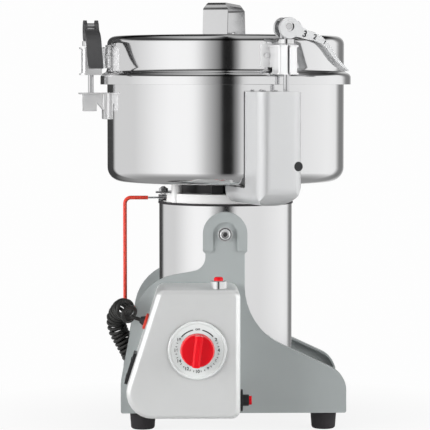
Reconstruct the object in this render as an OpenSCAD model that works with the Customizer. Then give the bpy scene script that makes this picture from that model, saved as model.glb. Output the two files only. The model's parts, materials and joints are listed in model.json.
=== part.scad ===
// Tilting electric grain mill: a steel bowl with a latched lid on a motor that swings between two side plates.
// Millimetres, +Z up, X along the side plates, -Y towards the control box.
// The origin is on the bench, under the bowl's axis and midway between the plates.

/* [Bowl] */
// Outside diameter of the bowl
bowl_d = 240; // [200:1:260]
// Height of the bowl from its underside to its rim
bowl_h = 105; // [80:1:130]
// Sheet thickness of the bowl and the lid
bowl_wall = 1.5; // [1:0.1:3]
// Rounding between the bowl's wall and its bottom
bowl_round = 14; // [8:1:24]
// Width of the turned-out rim
rim_w = 3; // [2:0.1:4]
// Thickness of the turned-out rim
rim_t = 2; // [1.5:0.1:3]

/* [Lid] */
// Height of the lid above the bowl's rim
lid_h = 41; // [30:1:60]
// Rounding of the lid's top edge
lid_round = 8; // [4:0.5:14]
// Height of the flared skirt that hangs over the bowl's rim
skirt_h = 10; // [6:0.5:14]
// Thickness of the silicone lid seal
seal_t = 2.5; // [2:0.1:4]
// Height of the concave groove above the skirt
groove_h = 5; // [3:0.5:8]

/* [Lid handle] */
// Length of the strap handle, front to back
handle_l = 96; // [70:1:110]
// Height of the handle's top above the lid
handle_h = 33; // [25:1:45]
// Width of the strap
handle_w = 25; // [14:0.5:30]
// Thickness of the strap
handle_t = 3; // [2:0.1:5]
// Bend radius of the strap
handle_round = 9; // [6:0.5:14]
// Turn of the handle about the vertical
handle_turn = 13; // [0:1:30]

/* [Latches] */
// Distance of each latch bolt from the bowl's axis
latch_r = 137; // [134:0.5:150]
// Compass place of the swing bolt, counted from +X
left_az = 186.5; // [170:0.5:200]
// Compass place of the hinge post, counted from +X
right_az = -66.5; // [-80:0.5:-55]
// Diameter of the latch bolts
latch_bolt_d = 5.6; // [4:0.1:8]
// Outside radius of a lever's ring
ring_r = 10.3; // [8:0.1:13]
// Offset of the lever's pin from its ring
cam_e = 1.5; // [0.5:0.1:2.5]
// Diameter of the lever pins
lever_pin_d = 6; // [4:0.1:8]
// Gap between the lever's two cheeks
fork_gap = 8; // [7:0.1:12]
// Thickness of each cheek
cheek_t = 3.4; // [2:0.1:4]
// Reach of the lever from its ring
lever_reach = 66; // [50:1:80]
// Drop of the lever's tip below its ring
lever_drop = 41; // [30:1:50]
// Thickness of the lever's broad face
lever_web_t = 3; // [2:0.1:4]
// Width of the lid brackets' bodies
sleeve_d = 24; // [21:0.5:26]
// Height of the lid bracket
bracket_h = 28; // [22:1:34]
// Diameter of a latch collar
collar_w = 17; // [12:0.5:18]
// Height of a latch collar
collar_h = 4.7; // [3:0.1:6]
// Gap under the swing bolt's collar
collar_gap = 1.2; // [0.8:0.1:2]

/* [Side plates] */
// Gap between the side plates
plate_gap = 139; // [137:1:160]
// Sheet thickness of the side plates
plate_t = 2; // [1.5:0.1:3]
// Left end of the plates
plate_left = 105.7; // [90:1:120]
// Right end of the plates
plate_right = 118; // [100:1:140]
// Height of the pivot above the bench
pivot_z = 195.3; // [185:1:205]
// Offset of the pivot from the bowl's axis, to the left
pivot_off = 2.4; // [0:0.1:5]
// Radius of the round ear at the pivot
ear_r = 22; // [18:0.1:26]
// Depth of the ear's raised rim
ear_rim_t = 2.2; // [1:0.1:4]
// Half width of the channel inside the ear's rim
ear_channel = 12; // [9:0.5:14]

/* [Base] */
// Height of the rubber feet
foot_h = 17.5; // [10:0.5:25]
// Diameter of a foot at its top
foot_d = 26; // [18:0.5:32]
// Taper of a foot on its diameter
foot_taper = 2.4; // [0:0.1:5]
// Place of the left feet
foot_left = 84; // [60:0.5:90]
// Place of the right feet
foot_right = 96.4; // [80:0.5:105]
// Half spacing of the feet, front to back
foot_y = 54.5; // [45:0.5:56]
// Sheet thickness of the base pan
pan_t = 1.5; // [1:0.1:2]
// Height of the pan's flanges
pan_flange = 18; // [12:1:24]

/* [Motor] */
// Outside diameter of the motor housing
motor_d = 135; // [124:1:136]
// Wall of the motor housing
motor_wall = 2; // [1.5:0.1:3]
// Height of the motor's underside above the bench
motor_bottom = 45; // [40:1:60]
// Height of the motor's top above the bench
motor_top = 222.5; // [220:0.5:224]
// Diameter of the shaft
shaft_d = 14; // [10:0.5:16]
// Diameter of the pivot bolts
pivot_bolt_d = 8; // [6:0.5:10]

/* [Neck] */
// Thickness of the black gasket on the motor
gasket_t = 2; // [1:0.5:3]
// Diameter of the bright neck ring
neck_d = 128; // [110:1:130]
// Height of the neck ring
neck_h = 9.3; // [7:0.1:10]
// Diameter of the posts that carry the bowl
post_d = 10; // [8:0.5:12]
// Distance of the posts from the axis
post_r = 61; // [58:0.5:62]

/* [Control box] */
// Depth of the box in front of the plate
box_depth = 75; // [60:1:90]
// Height of the box's top above the bench
box_top = 147.2; // [140:0.5:150]
// Height of the box's bottom above the bench
box_bottom = 23; // [21:0.5:28]
// Right side of the box
box_right = 10.3; // [8:0.5:14]
// Left top corner of the box
box_left_top = 68.4; // [62:0.5:72]
// Left bottom corner of the box, before its rounding
box_left_low = 108.1; // [98:0.5:110]
// Wall of the box
box_wall = 2.5; // [2:0.1:4]
// Rounding of the box's front edge
box_edge = 5; // [3:0.5:6]

/* [Controls] */
// Diameter of the dial plate
dial_d = 57; // [48:0.5:60]
// Thickness of the dial plate
dial_t = 2.4; // [1.5:0.1:4]
// Place of the dial along X
dial_x = -30.9; // [-34:0.5:-27]
// Height of the dial above the bench
dial_z = 89.6; // [80:0.5:95]
// Diameter of the timer knob
knob_d = 33; // [26:0.5:36]
// Height of the timer knob
knob_h = 15; // [10:0.5:20]
// Width of the knob's grip bar
grip_w = 8.6; // [6:0.1:12]
// Tilt of the grip bar in the drawn position
grip_tilt = 6.5; // [0:0.5:15]
// Diameter of the start button's collar
start_collar_d = 16.4; // [12:0.1:20]
// Diameter of the start button's cap
start_cap_d = 8.8; // [6:0.1:12]
// Travel of the start button
start_travel = 2.5; // [1:0.1:3]
// Diameter of the reset button's flange
reset_flange_d = 21.6; // [16:0.1:26]
// Travel of the reset button
reset_travel = 1.8; // [1:0.1:2]

/* [Arm] */
// Width of the arm's column
arm_w = 45.8; // [40:0.5:50]
// Depth of the arm's column, radially
arm_d = 40; // [36:0.5:46]
// Rounding of the column's upright edges
arm_round = 12; // [8:0.5:14]
// Wall of the arm casting
arm_wall = 3; // [2.5:0.1:4]
// Compass place of the arm's column
arm_az = -72.3; // [-78:0.1:-70]
// Rounding of the arm's low outer corner
arm_elbow = 26; // [15:1:30]

/* [Curly cord] */
// Thickness of the cord
cord_d = 3.6; // [2.5:0.1:4.5]
// Outside diameter of the curls
curl_d = 20; // [14:0.5:24]
// Curls in each hanging stretch of the cord's route
curls = 3; // [2:1:5]

/* [Hidden] */
$fn = 72;

// Shared values
over = 1;              // overrun of a cut past the face it opens
run_gap = 0.05;        // radial running clearance of a shaft or pin
rub_gap = 0.3;         // gap between faces that slide past each other
touch_gap = 0.15;      // gap between a still part and the plate it passes
corner_steps = 8;      // facets in a rounded corner
edge_steps = 5;        // facets across a rounded edge
least_round = 0.1;      // a rounded corner keeps at least this radius when it is drawn in

// Shared functions
function unit(v) = v / norm(v);
function flat(p) = [p[0], p[1]];
function before(k, i) = flat(k[(i + len(k) - 1) % len(k)]);
function after(k, i) = flat(k[(i + 1) % len(k)]);
function short_way(d) = d > 180 ? d - 360 : d < -180 ? d + 360 : d;
function left_of(v) = unit([-v[1], v[0]]);
function polar(r, a) = r * [cos(a), sin(a)];

// One corner of an outline, rounded by an arc that meets both sides squarely
function corner(a, p, b, r, n) =
    r == 0 ? [p] :
    let (
        u = unit(a - p),
        v = unit(b - p),
        half = acos(u * v) / 2,
        c = p + unit(u + v) * r / sin(half),
        s = p + u * r / tan(half) - c,
        e = p + v * r / tan(half) - c,
        from = atan2(s[1], s[0]),
        turn = short_way(atan2(e[1], e[0]) - from)
    )
    [for (i = [0:n]) c + polar(r, from + turn * i / n)];

// Corners [x, y, radius], counter-clockwise, become the points of an outline
function outline(k, n = corner_steps) =
    [for (i = [0:len(k) - 1]) each corner(before(k, i), flat(k[i]), after(k, i), k[i][2], n)];

// The same corners drawn in by a distance, so that two outlines stay parallel
function inset(k, d) =
    [for (i = [0:len(k) - 1])
        let (
            a = before(k, i),
            p = flat(k[i]),
            b = after(k, i),
            m = left_of(p - a),
            q = left_of(b - p),
            way = cross(p - a, b - p) > 0 ? -1 : 1,
            w = p + d * (m + q) / (1 + m * q)
        )
        [w[0], w[1], k[i][2] == 0 ? 0 : max(k[i][2] + way * d, least_round)]];

// Shared modules
// Stands a flat shape up in the XZ plane and faces it to the front
module facing_front(y) {
    translate([0, y, 0]) rotate([90, 0, 0]) children();
}

module both_ends() {
    children();
    mirror([0, 1, 0]) children();
}

module ring(r_out, r_in, z, h) {
    translate([0, 0, z]) difference() {
        cylinder(r = r_out, h = h);
        translate([0, 0, -over]) cylinder(r = r_in, h = h + 2 * over);
    }
}

module disc(r, z, h) {
    translate([0, 0, z]) cylinder(r = r, h = h);
}

// A prism whose far edge is rounded over
module soft_prism(k, h, r) {
    n = len(outline(k));
    levels = concat([[0, 0]], [for (i = [0:edge_steps])
        let (a = 90 * i / edge_steps) [h - r + r * sin(a), r * (1 - cos(a))]]);
    rings = [for (l = levels) [for (p = outline(inset(k, l[1]))) [p[0], p[1], l[0]]]];
    points = [for (r = rings) each r];
    last = len(rings) - 1;
    polyhedron(points, concat(
        [[for (i = [0:n - 1]) i]],
        [for (j = [0:last - 1]) for (i = [0:n - 1])
            let (a = j * n + i, b = j * n + (i + 1) % n) each [[a, a + n, b + n], [a, b + n, b]]],
        [[for (i = [n - 1:-1:0]) last * n + i]]
    ));
}

// A round tube swept along points, with its ends closed; its radius is a number or one number per point
module swept_tube(route, r, sides) {
    last = len(route) - 1;
    way = [for (i = [0:last]) unit(route[min(i + 1, last)] - route[max(i - 1, 0)])];
    first = unit(cross(way[0], abs(way[0][2]) < 0.9 ? [0, 0, 1] : [1, 0, 0]));
    side = [for (i = 0, v = first; i <= last;
        i = i + 1, v = i > last ? v : unit(v - (v * way[i]) * way[i])) v];
    points = [for (i = [0:last]) for (k = [0:sides - 1])
        let (a = 360 * k / sides) route[i] + (is_list(r) ? r[i] : r) * (cos(a) * side[i] + sin(a) * cross(way[i], side[i]))];
    polyhedron(points, concat(
        [[for (k = [sides - 1:-1:0]) k]],
        [for (i = [0:last - 1]) for (k = [0:sides - 1])
            let (a = i * sides + k, b = i * sides + (k + 1) % sides) each [[a, b, b + sides], [a, b + sides, a + sides]]],
        [[for (k = [0:sides - 1]) last * sides + k]]
    ));
}

socket_share = 0.7;

// Heights that follow from the driving sizes
bowl_r = bowl_d / 2;
motor_r = motor_d / 2;
neck_z = motor_top + gasket_t;
neck_top = neck_z + neck_h;
post_h = 11.5;
bowl_z = neck_top + post_h;
rim_z = bowl_z + bowl_h;
lid_z = rim_z + seal_t;
lid_top = rim_z + lid_h;
plate_y = plate_gap / 2;
plate_face = plate_y + plate_t;
pan_top = foot_h + pan_t;

// Side plates
slope_drop = 38.3;      // height of the right end's corner above the plate's foot
shelf_z = 102.6;        // height at which the sloping edge would meet the ear's column
sweep_r = 65;           // large hollow curve right of the ear
nose_r = 25;            // rounding at the right end
column_inset = 2.6;     // the column is this much narrower than the ear on each side
ear_step_z = 176;       // height of the step under the ear
shoulder_z = 161;       // height of the left shoulder beside the column
shoulder_r = 14;
hip_x = 86.5;           // corner of the left edge before its rounding
hip_z = 149.3;
hip_r = 50;
knee_z = 32;            // height at which the left edge turns upright
knee_r = 60;
step_r = 1.2;
toe_r = 2;
round_share = 0.98;     // keeps two arcs that share a side from touching
bush_wall = 2;
bush_lip = 3;
bush_flange_t = 1.5;
bush_r = pivot_bolt_d / 2 + bush_wall;
lead_hole_r = 9;        // hole for the leads between the plate and the box

pivot_x = -pivot_off;

plate_corners = [
    [-plate_left, foot_h, toe_r],
    [plate_right, foot_h, toe_r],
    [plate_right, foot_h + slope_drop, nose_r],
    [pivot_x + ear_r - column_inset, shelf_z, sweep_r],
    [pivot_x + ear_r - column_inset, ear_step_z, step_r],
    [pivot_x + ear_r, ear_step_z + column_inset, step_r],
    [pivot_x + ear_r, pivot_z + ear_r, ear_r * round_share],
    [pivot_x - ear_r, pivot_z + ear_r, ear_r * round_share],
    [pivot_x - ear_r, ear_step_z + column_inset, step_r],
    [pivot_x - ear_r + column_inset, ear_step_z, step_r],
    [pivot_x - ear_r + column_inset, shoulder_z, shoulder_r],
    [-hip_x, hip_z, hip_r],
    [-plate_left, foot_h + knee_z, knee_r]
];

ear_rim_corners = [
    [pivot_x - ear_r, ear_step_z + column_inset, step_r],
    [pivot_x - ear_channel, ear_step_z + column_inset, step_r],
    [pivot_x - ear_channel, pivot_z + ear_channel, ear_channel * round_share],
    [pivot_x + ear_channel, pivot_z + ear_channel, ear_channel * round_share],
    [pivot_x + ear_channel, ear_step_z + column_inset, step_r],
    [pivot_x + ear_r, ear_step_z + column_inset, step_r],
    [pivot_x + ear_r, pivot_z + ear_r, ear_r * round_share],
    [pivot_x - ear_r, pivot_z + ear_r, ear_r * round_share]
];
lip_depth = 8;          // folded edge on the sloping side, turned inwards
lip_start = 40;         // it begins right of the motor's side
lip_foot = 3;           // and ends this far above the plate's foot

module side_plate() {
    difference() {
        union() {
            facing_front(-plate_y) linear_extrude(plate_t) polygon(outline(plate_corners));
            facing_front(-plate_face) linear_extrude(ear_rim_t) polygon(outline(ear_rim_corners));
            facing_front(-plate_y + lip_depth) linear_extrude(lip_depth + plate_t / 2) intersection() {
                difference() {
                    polygon(outline(plate_corners));
                    polygon(outline(inset(plate_corners, plate_t)));
                }
                translate([lip_start, foot_h + lip_foot]) square([plate_right, pivot_z]);
            }
        }
        facing_front(-plate_y + over) {
            translate([pivot_x, pivot_z]) cylinder(r = bush_r, h = plate_t + 2 * over);
        }
    }
}

lead_x = dial_x;
lead_z = 52;

module front_plate() color([0.63, 0.66, 0.66]) {
    difference() {
        side_plate();
        facing_front(-plate_y + over) translate([lead_x, lead_z]) cylinder(r = lead_hole_r, h = plate_t + 2 * over);
    }
}

mains_x = -60;
mains_z = 48;
mains_r = 6;

module rear_plate() color([0.63, 0.66, 0.66]) {
    difference() {
        mirror([0, 1, 0]) side_plate();
        mirror([0, 1, 0]) facing_front(-plate_y + over) translate([mains_x, mains_z]) cylinder(r = mains_r, h = plate_t + 2 * over);
    }
}

// Base pan, feet and their screws
foot_screw_r = 2.5;
foot_recess_r = 7;
foot_recess_h = 10;
foot_rim_r = 1.5;       // rounding of the foot's lower edge
vent_l = 40;
vent_w = 4;
vent_pitch = 12;
vents = 5;
pan_end = 4;            // the pan stops this far inside the plates' ends

module foot_places() {
    for (x = [-foot_left, foot_right]) for (y = [-foot_y, foot_y]) translate([x, y, 0]) children();
}

module base_pan() color([0.5, 0.52, 0.53]) {
    length = plate_left + plate_right - 2 * pan_end;
    difference() {
        union() {
            translate([-plate_left + pan_end, -plate_y, foot_h]) cube([length, plate_gap, pan_t]);
            both_ends() translate([-plate_left + pan_end, -plate_y, foot_h]) cube([length, pan_t, pan_flange]);
        }
        foot_places() translate([0, 0, foot_h - over]) cylinder(r = foot_screw_r, h = pan_t + 2 * over);
        for (i = [0:vents - 1])
            translate([(i - (vents - 1) / 2) * vent_pitch - vent_w / 2, -vent_l / 2, foot_h - over])
                cube([vent_w, vent_l, pan_t + 2 * over]);
    }
}

module foot() {
    top = foot_d / 2;
    low = (foot_d - foot_taper) / 2;
    rotate_extrude() polygon([
        [foot_recess_r, 0], [low - foot_rim_r, 0], [low, foot_rim_r], [top, foot_h],
        [foot_screw_r, foot_h], [foot_screw_r, foot_recess_h], [foot_recess_r, foot_recess_h]
    ]);
}

module feet() color([0.13, 0.13, 0.14]) foot_places() foot();

foot_washer_r = 6;
base_screw_h = 3;
base_nut_t = 4;

module base_screws() color([0.75, 0.75, 0.75]) {
    // feet: a washer head in the foot's recess and a nut on the pan
    foot_places() {
        difference() {
            union() {
                disc(foot_washer_r, foot_recess_h - base_screw_h, base_screw_h);
                disc(foot_screw_r, foot_recess_h - base_screw_h, pan_top + base_nut_t - foot_recess_h + base_screw_h);
                translate([0, 0, pan_top]) cylinder(r = 2 * foot_screw_r - run_gap, h = base_nut_t, $fn = 6);
            }
            translate([0, 0, foot_recess_h - base_screw_h - over])
                cylinder(r = foot_screw_r * socket_share, h = over + base_screw_h / 2, $fn = 6);
        }
    }
}

// Pivot: bolts turn with the motor, bushes stay in the plates
pivot_head_r = 5.3;
pivot_head_h = 5;
washer_r = 7.2;
washer_t = 1.6;
boss_r = 15;
boss_depth = plate_y - bush_flange_t - rub_gap;
pivot_thread = 9;

module at_pivots() {
    both_ends() facing_front(0) translate([pivot_x, pivot_z, 0]) children();
}

module pivot_bushes() color([0.9, 0.9, 0.86]) at_pivots() difference() {
    union() {
        disc(bush_r, plate_y, plate_t);
        disc(bush_r + bush_lip, plate_y - bush_flange_t, bush_flange_t);
    }
    disc(pivot_bolt_d / 2 + run_gap, plate_y - bush_flange_t - over, plate_t + bush_flange_t + 2 * over);
}

module pivot_washers() color([0.85, 0.86, 0.87]) at_pivots()
    ring(washer_r, pivot_bolt_d / 2, plate_face + rub_gap, washer_t);

module pivot_bolts() color([0.8, 0.81, 0.82]) at_pivots() difference() {
    union() {
        disc(pivot_bolt_d / 2, boss_depth - pivot_thread, plate_face + rub_gap + washer_t - boss_depth + pivot_thread);
        translate([0, 0, plate_face + rub_gap + washer_t]) rotate_extrude() polygon([
            [0, 0], [pivot_head_r, 0], [pivot_head_r, pivot_head_h * 0.7], [pivot_head_r * 0.8, pivot_head_h], [0, pivot_head_h]
        ]);
    }
    translate([0, 0, plate_face + rub_gap + washer_t + pivot_head_h / 2])
        cylinder(r = pivot_head_r / 2, h = pivot_head_h, $fn = 6);
}

// Motor
cover_t = 6;
stator_z = 100;
stator_h = 50;
stator_bore = 27;
core_gap = 1;
lamination_r = 62;
top_flange_r = 52;
top_flange_t = 4;
bearing_r = 17;
bearing_h = 11;
low_bearing_z = 52;
boss_pad = 5;
foot_lip = 2.5;
cord_port_z = 64;
cord_port_az = 192;
cord_port_r = 5;

module at_cord_port() {
    rotate([0, 0, cord_port_az]) translate([0, 0, cord_port_z]) rotate([0, 90, 0]) children();
}

module motor_housing() color([0.86, 0.87, 0.88]) {
    difference() {
        union() {
            ring(motor_r, motor_r - motor_wall, motor_bottom, motor_top - motor_bottom);
            ring(motor_r - motor_wall / 2, top_flange_r, motor_top - top_flange_t, top_flange_t);
            at_pivots() disc(boss_r, motor_r - motor_wall - boss_pad, boss_depth - motor_r + motor_wall + boss_pad);
        }
        at_pivots() disc(pivot_bolt_d / 2, boss_depth - pivot_thread, pivot_thread + over);
        at_cord_port() disc(cord_port_r, motor_r - 2 * boss_pad, 3 * boss_pad);
    }
}

cooling_slots = 10;
cooling_r = 44;
cooling_w = 5;
cooling_l = 22;
bearing_wall = 4;

module motor_bottom_cover() color([0.2, 0.2, 0.21]) {
    difference() {
        union() {
            disc(motor_r - motor_wall, motor_bottom, cover_t);
            disc(bearing_r + bearing_wall, motor_bottom, low_bearing_z + bearing_h - motor_bottom);
        }
        translate([0, 0, low_bearing_z]) cylinder(r = bearing_r, h = bearing_h + over);
        for (i = [0:cooling_slots - 1]) rotate([0, 0, 360 * i / cooling_slots])
            translate([cooling_r - cooling_l / 2, -cooling_w / 2, motor_bottom - over])
                cube([cooling_l, cooling_w, cover_t + 2 * over]);
    }
}

module motor_gasket() color([0.08, 0.08, 0.09])
    ring(motor_r + over, top_flange_r + run_gap, motor_top, gasket_t);

winding_t = 16;
winding_r = 50;

module stator() color([0.45, 0.3, 0.18]) {
    // laminations on the housing's wall, with the windings standing out of both ends
    ring(lamination_r, stator_bore, stator_z, stator_h);
    ring(winding_r, stator_bore + bearing_wall, stator_z - winding_t, winding_t);
    ring(winding_r, stator_bore + bearing_wall, stator_z + stator_h, winding_t);
    intersection() {
        disc(motor_r - motor_wall, stator_z, stator_h);
        for (a = [45:90:315]) rotate([0, 0, a])
            translate([lamination_r - bearing_wall, -cooling_w, stator_z]) cube([motor_r, 2 * cooling_w, stator_h]);
    }
}

neck_bore = 30;
top_bearing_z = neck_z - 2;

module bearings() color([0.7, 0.71, 0.72]) {
    for (z = [low_bearing_z, top_bearing_z]) ring(bearing_r, shaft_d / 2 + run_gap, z, bearing_h);
}

commutator_r = 15;
commutator_z = 200;
commutator_h = 18;
brush_l = 30;
brush_w = 8;

module brush_holders() color([0.75, 0.6, 0.3]) for (a = [0, 180]) rotate([0, 0, a])
    translate([commutator_r + rub_gap, -brush_w / 2, commutator_z + commutator_h / 2 - brush_w / 2])
        cube([motor_r - motor_wall - commutator_r - 2 * rub_gap, brush_w, brush_w]);

module rotor_core() color([0.5, 0.33, 0.2]) {
    ring(stator_bore - core_gap, shaft_d / 2, stator_z, stator_h);
    ring(commutator_r, shaft_d / 2, commutator_z, commutator_h);
}

shaft_low = 52.3;
shaft_step_z = 254;
lower_blade_z = 257;
upper_blade_z = 275;
blade_t = 3;
thread_d = 10;
shaft_top = 292;

module shaft() color([0.7, 0.71, 0.73]) {
    disc(shaft_d / 2, shaft_low, lower_blade_z - shaft_low);
    disc(thread_d / 2, lower_blade_z, blade_t);
    // spacer sleeve between the two blades
    disc(shaft_d / 2, lower_blade_z + blade_t, upper_blade_z - lower_blade_z - blade_t);
    disc(thread_d / 2, upper_blade_z, shaft_top - upper_blade_z);
}

fan_z = 178;
fan_h = 12;
fan_r = 44;
fan_hub_r = 12;
fan_blades = 9;
fan_blade_t = 2;
fan_plate_t = 2;
fan_start = 186.2;

module fan() color([0.25, 0.26, 0.28]) translate([0, 0, fan_start]) difference() {
    union() {
        disc(fan_r, 0, fan_plate_t);
        disc(fan_hub_r, 0, fan_h);
        for (i = [0:fan_blades - 1]) rotate([0, 0, 360 * i / fan_blades])
            translate([fan_hub_r - over, -fan_blade_t / 2, 0]) cube([fan_r - fan_hub_r, fan_blade_t, fan_h]);
    }
    disc(shaft_d / 2, -over, fan_h + 2 * over);
}

// Neck
housing_r = 45.5;         // round housing of the upper bearing and the shaft seal
neck_bolt_r = 2.6;
post_az = [145, 215, 35, 325];

module neck_ring() color([0.88, 0.88, 0.88]) {
    difference() {
        union() {
            disc(neck_d / 2, neck_z, neck_h);
            disc(top_flange_r, motor_top, gasket_t);
            disc(housing_r, neck_top, post_h);
            disc(neck_bore, motor_top - neck_spigot, neck_spigot + gasket_t);
        }
        translate([0, 0, motor_top - neck_spigot - over])
            cylinder(r = bearing_r, h = top_bearing_z + bearing_h - motor_top + neck_spigot + over);
        disc(shaft_d / 2 + rub_gap, motor_top, post_h * 4);
        post_places() disc(post_d / 2, neck_z - over, neck_h + 2 * over);
    }
}
neck_spigot = 2.2;

module post_places() {
    for (a = post_az) rotate([0, 0, a]) translate([post_r, 0, 0]) children();
}

module neck_posts() color([0.85, 0.86, 0.87]) post_places() disc(post_d / 2, neck_z, neck_h + post_h);

// Bowl
bowl_corners = [
    [0, 0, 0], [bowl_r, 0, bowl_round], [bowl_r, bowl_h - rim_t, 0], [bowl_r + rim_w, bowl_h - rim_t, 0],
    [bowl_r + rim_w, bowl_h, 0], [bowl_r - bowl_wall, bowl_h, 0],
    [bowl_r - bowl_wall, bowl_wall, bowl_round - bowl_wall], [0, bowl_wall, 0]
];
seal_r = 9;

module bowl() color([0.83, 0.84, 0.85]) difference() {
    translate([0, 0, bowl_z]) rotate_extrude($fn = 128) polygon(outline(bowl_corners));
    disc(seal_r, bowl_z - over, bowl_wall + 2 * over);
}

seal_lip_r = 14;
seal_lip_t = 2.5;

module shaft_seal() color([0.15, 0.15, 0.16]) difference() {
    union() {
        disc(seal_r, bowl_z, bowl_wall);
        disc(seal_lip_r, bowl_z + bowl_wall, seal_lip_t);
    }
    disc(shaft_d / 2 + run_gap, bowl_z - over, bowl_wall + seal_lip_t + 2 * over);
}

// Blades
lower_span = 104;
upper_span = 92;
blade_w = 24;
blade_tip_w = 12;
blade_hub_r = 15;
wing_l = 22;
wing_rise = 32;         // angle of the bent tips

module blade_plan(span, tip) {
    polygon(outline([
        [-span, -tip / 2, step_r], [-blade_hub_r, -blade_w / 2, 2 * toe_r], [blade_hub_r, -blade_w / 2, 2 * toe_r], [span, -tip / 2, step_r],
        [span, tip / 2, step_r], [blade_hub_r, blade_w / 2, 2 * toe_r], [-blade_hub_r, blade_w / 2, 2 * toe_r], [-span, tip / 2, step_r]
    ]));
}

// A bar blade with both tips bent up
module bent_blade(span, tip, bend) {
    flat_l = span - wing_l;
    union() {
        linear_extrude(blade_t) intersection() {
            blade_plan(span, tip);
            square([2 * flat_l, blade_w + over], center = true);
        }
        for (a = [0, 180]) rotate([0, 0, a]) translate([flat_l, 0, 0]) rotate([0, -bend, 0])
            translate([-blade_t * sin(bend) / 2, -tip / 2 - over / 2, 0]) cube([wing_l, tip + over, blade_t]);
    }
}

module lower_blade() color([0.78, 0.79, 0.8]) translate([0, 0, lower_blade_z]) difference() {
    union() {
        bent_blade(lower_span, blade_tip_w, 0);
        rotate([0, 0, 90]) bent_blade(upper_span, blade_tip_w, wing_rise);
    }
    disc(thread_d / 2, -over, blade_t + 2 * over);
}

module upper_blade() color([0.78, 0.79, 0.8]) translate([0, 0, upper_blade_z]) rotate([0, 0, 45]) difference() {
    bent_blade(upper_span, blade_tip_w, wing_rise);
    disc(thread_d / 2, -over, blade_t + 2 * over);
}

nut_r = 11;
nut_h = 10;
nut_dome = 6;

module blade_nut() color([0.8, 0.8, 0.81]) translate([0, 0, upper_blade_z + blade_t]) difference() {
    union() {
        cylinder(r = nut_r, h = nut_h, $fn = 6);
        disc(nut_r * 0.8, nut_h, nut_dome);
    }
    disc(thread_d / 2, -over, shaft_top - upper_blade_z - blade_t + over);
}

// Lid, in a frame with z = 0 at the rim
flare_r = bowl_r + rim_w + 3.9;
flare_round = 5;
flare_hollow = 3.5;      // the same rounding on the inside
lid_corners = [
    [0, lid_h - bowl_wall, 0],
    [bowl_r - bowl_wall, lid_h - bowl_wall, lid_round - bowl_wall],
    [bowl_r - bowl_wall, seal_t + 2 * bowl_wall, 0],
    [bowl_r - 2 * bowl_wall, seal_t + bowl_wall, 0],
    [bowl_r - 2 * bowl_wall, seal_t, 0],
    [flare_r - bowl_wall, seal_t, flare_hollow],
    [flare_r - bowl_wall, seal_t - skirt_h, 0],
    [flare_r, seal_t - skirt_h, 0],
    [flare_r, seal_t, flare_round],
    [bowl_r + step_r, seal_t + bowl_wall + step_r, groove_h / 2],
    [bowl_r, seal_t + groove_h + bowl_wall, 0],
    [bowl_r, lid_h, lid_round],
    [0, lid_h, 0]
];

module lid() color([0.82, 0.83, 0.84]) translate([0, 0, rim_z])
    rotate_extrude($fn = 128) polygon(outline(lid_corners));

module lid_seal() color([0.9, 0.9, 0.88])
    ring(flare_r - bowl_wall - flare_hollow - run_gap, bowl_r - 2 * bowl_wall, rim_z + touch_gap, seal_t - touch_gap);

// Handle: a bent strap with two feet
handle_foot = 16;
handle_foot_t = 3;

module handle_profile(d) {
    polygon(outline(inset([
        [-handle_l / 2, 0, 0], [handle_l / 2, 0, 0],
        [handle_l / 2 - handle_lean, handle_h, handle_round], [-handle_l / 2 + handle_lean, handle_h, handle_round]
    ], d)));
}
handle_lean = 4;
handle_x = -1.2;
handle_cut_w = 3.75;     // bevel of the strap's upper corners
handle_cut_h = 6.3;

module lid_handle() color([0.75, 0.76, 0.77]) translate([handle_x, 0, lid_top]) rotate([0, 0, 90 - handle_turn]) intersection() {
    half = handle_w / 2;
    rotate([90, 0, 0]) translate([0, 0, -handle_w / 2]) difference() {
        linear_extrude(handle_w) handle_profile(0);
        translate([0, 0, -over]) linear_extrude(handle_w + 2 * over) intersection() {
            handle_profile(handle_t);
            translate([-handle_l, handle_foot_t]) square([2 * handle_l, handle_h]);
        }
        translate([-handle_l / 2 + handle_foot + handle_t, -over, -over])
            cube([handle_l - 2 * handle_foot - 2 * handle_t, handle_foot_t + 2 * over, handle_w + 2 * over]);
    }
    rotate([90, 0, 90]) translate([0, 0, -handle_l / 2]) linear_extrude(handle_l) polygon([
        [-half, 0], [half, 0], [half, handle_h - handle_cut_h], [half - handle_cut_w, handle_h],
        [handle_cut_w - half, handle_h], [-half, handle_h - handle_cut_h]
    ]);
}

// Latch pieces in a frame with X outwards, Y along the lever, and heights from the bench
module at_latch(az) {
    rotate([0, 0, az]) translate([latch_r, 0, 0]) children();
}

module along_x(z) {
    translate([0, 0, z]) rotate([0, 90, 0]) children();
}

bracket_z = rim_z + 2;
bracket_top = bracket_z + bracket_h;
flange_t = 2.2;
flange_w = 24;
flange_round = 4;
sleeve_wall = 1.6;
body_x = -2.4;           // the brackets' bodies stand this much nearer to the lid than the bolt
strap_t = 1.8;
strap_half = 19;         // half width of the strap on the lid's wall
strap_up = 5;            // the strap stands above the bracket's lower flange by this much
strap_h = 23;
neck_w = 14;
flange_lip = 1.5;         // the bodies' thin flanges stand out by this much
flange_edge = 1.6;
post_body_in = -17.3;     // the right body, a box around the post
post_body_out = 5;
post_body_half = 10;
post_slot_w = 2.6;
collar_seat = bracket_top;
collar_top = collar_seat + collar_gap + collar_h;
ring_z = collar_top + ring_r + rub_gap;
pin_z = ring_z + cam_e;
slot_w = latch_bolt_d + 2 * rub_gap;
slot_lip = -0.5;         // where the notch for the collar begins, outside the bolt's axis

// The curved strap that lies on the lid's wall
module lid_strap(z, h, t, r) {
    intersection() {
        translate([-latch_r, 0, 0]) ring(r + t, r, z, h);
        translate([-latch_r, -strap_half, z]) cube([latch_r, 2 * strap_half, h]);
    }
}

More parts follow.
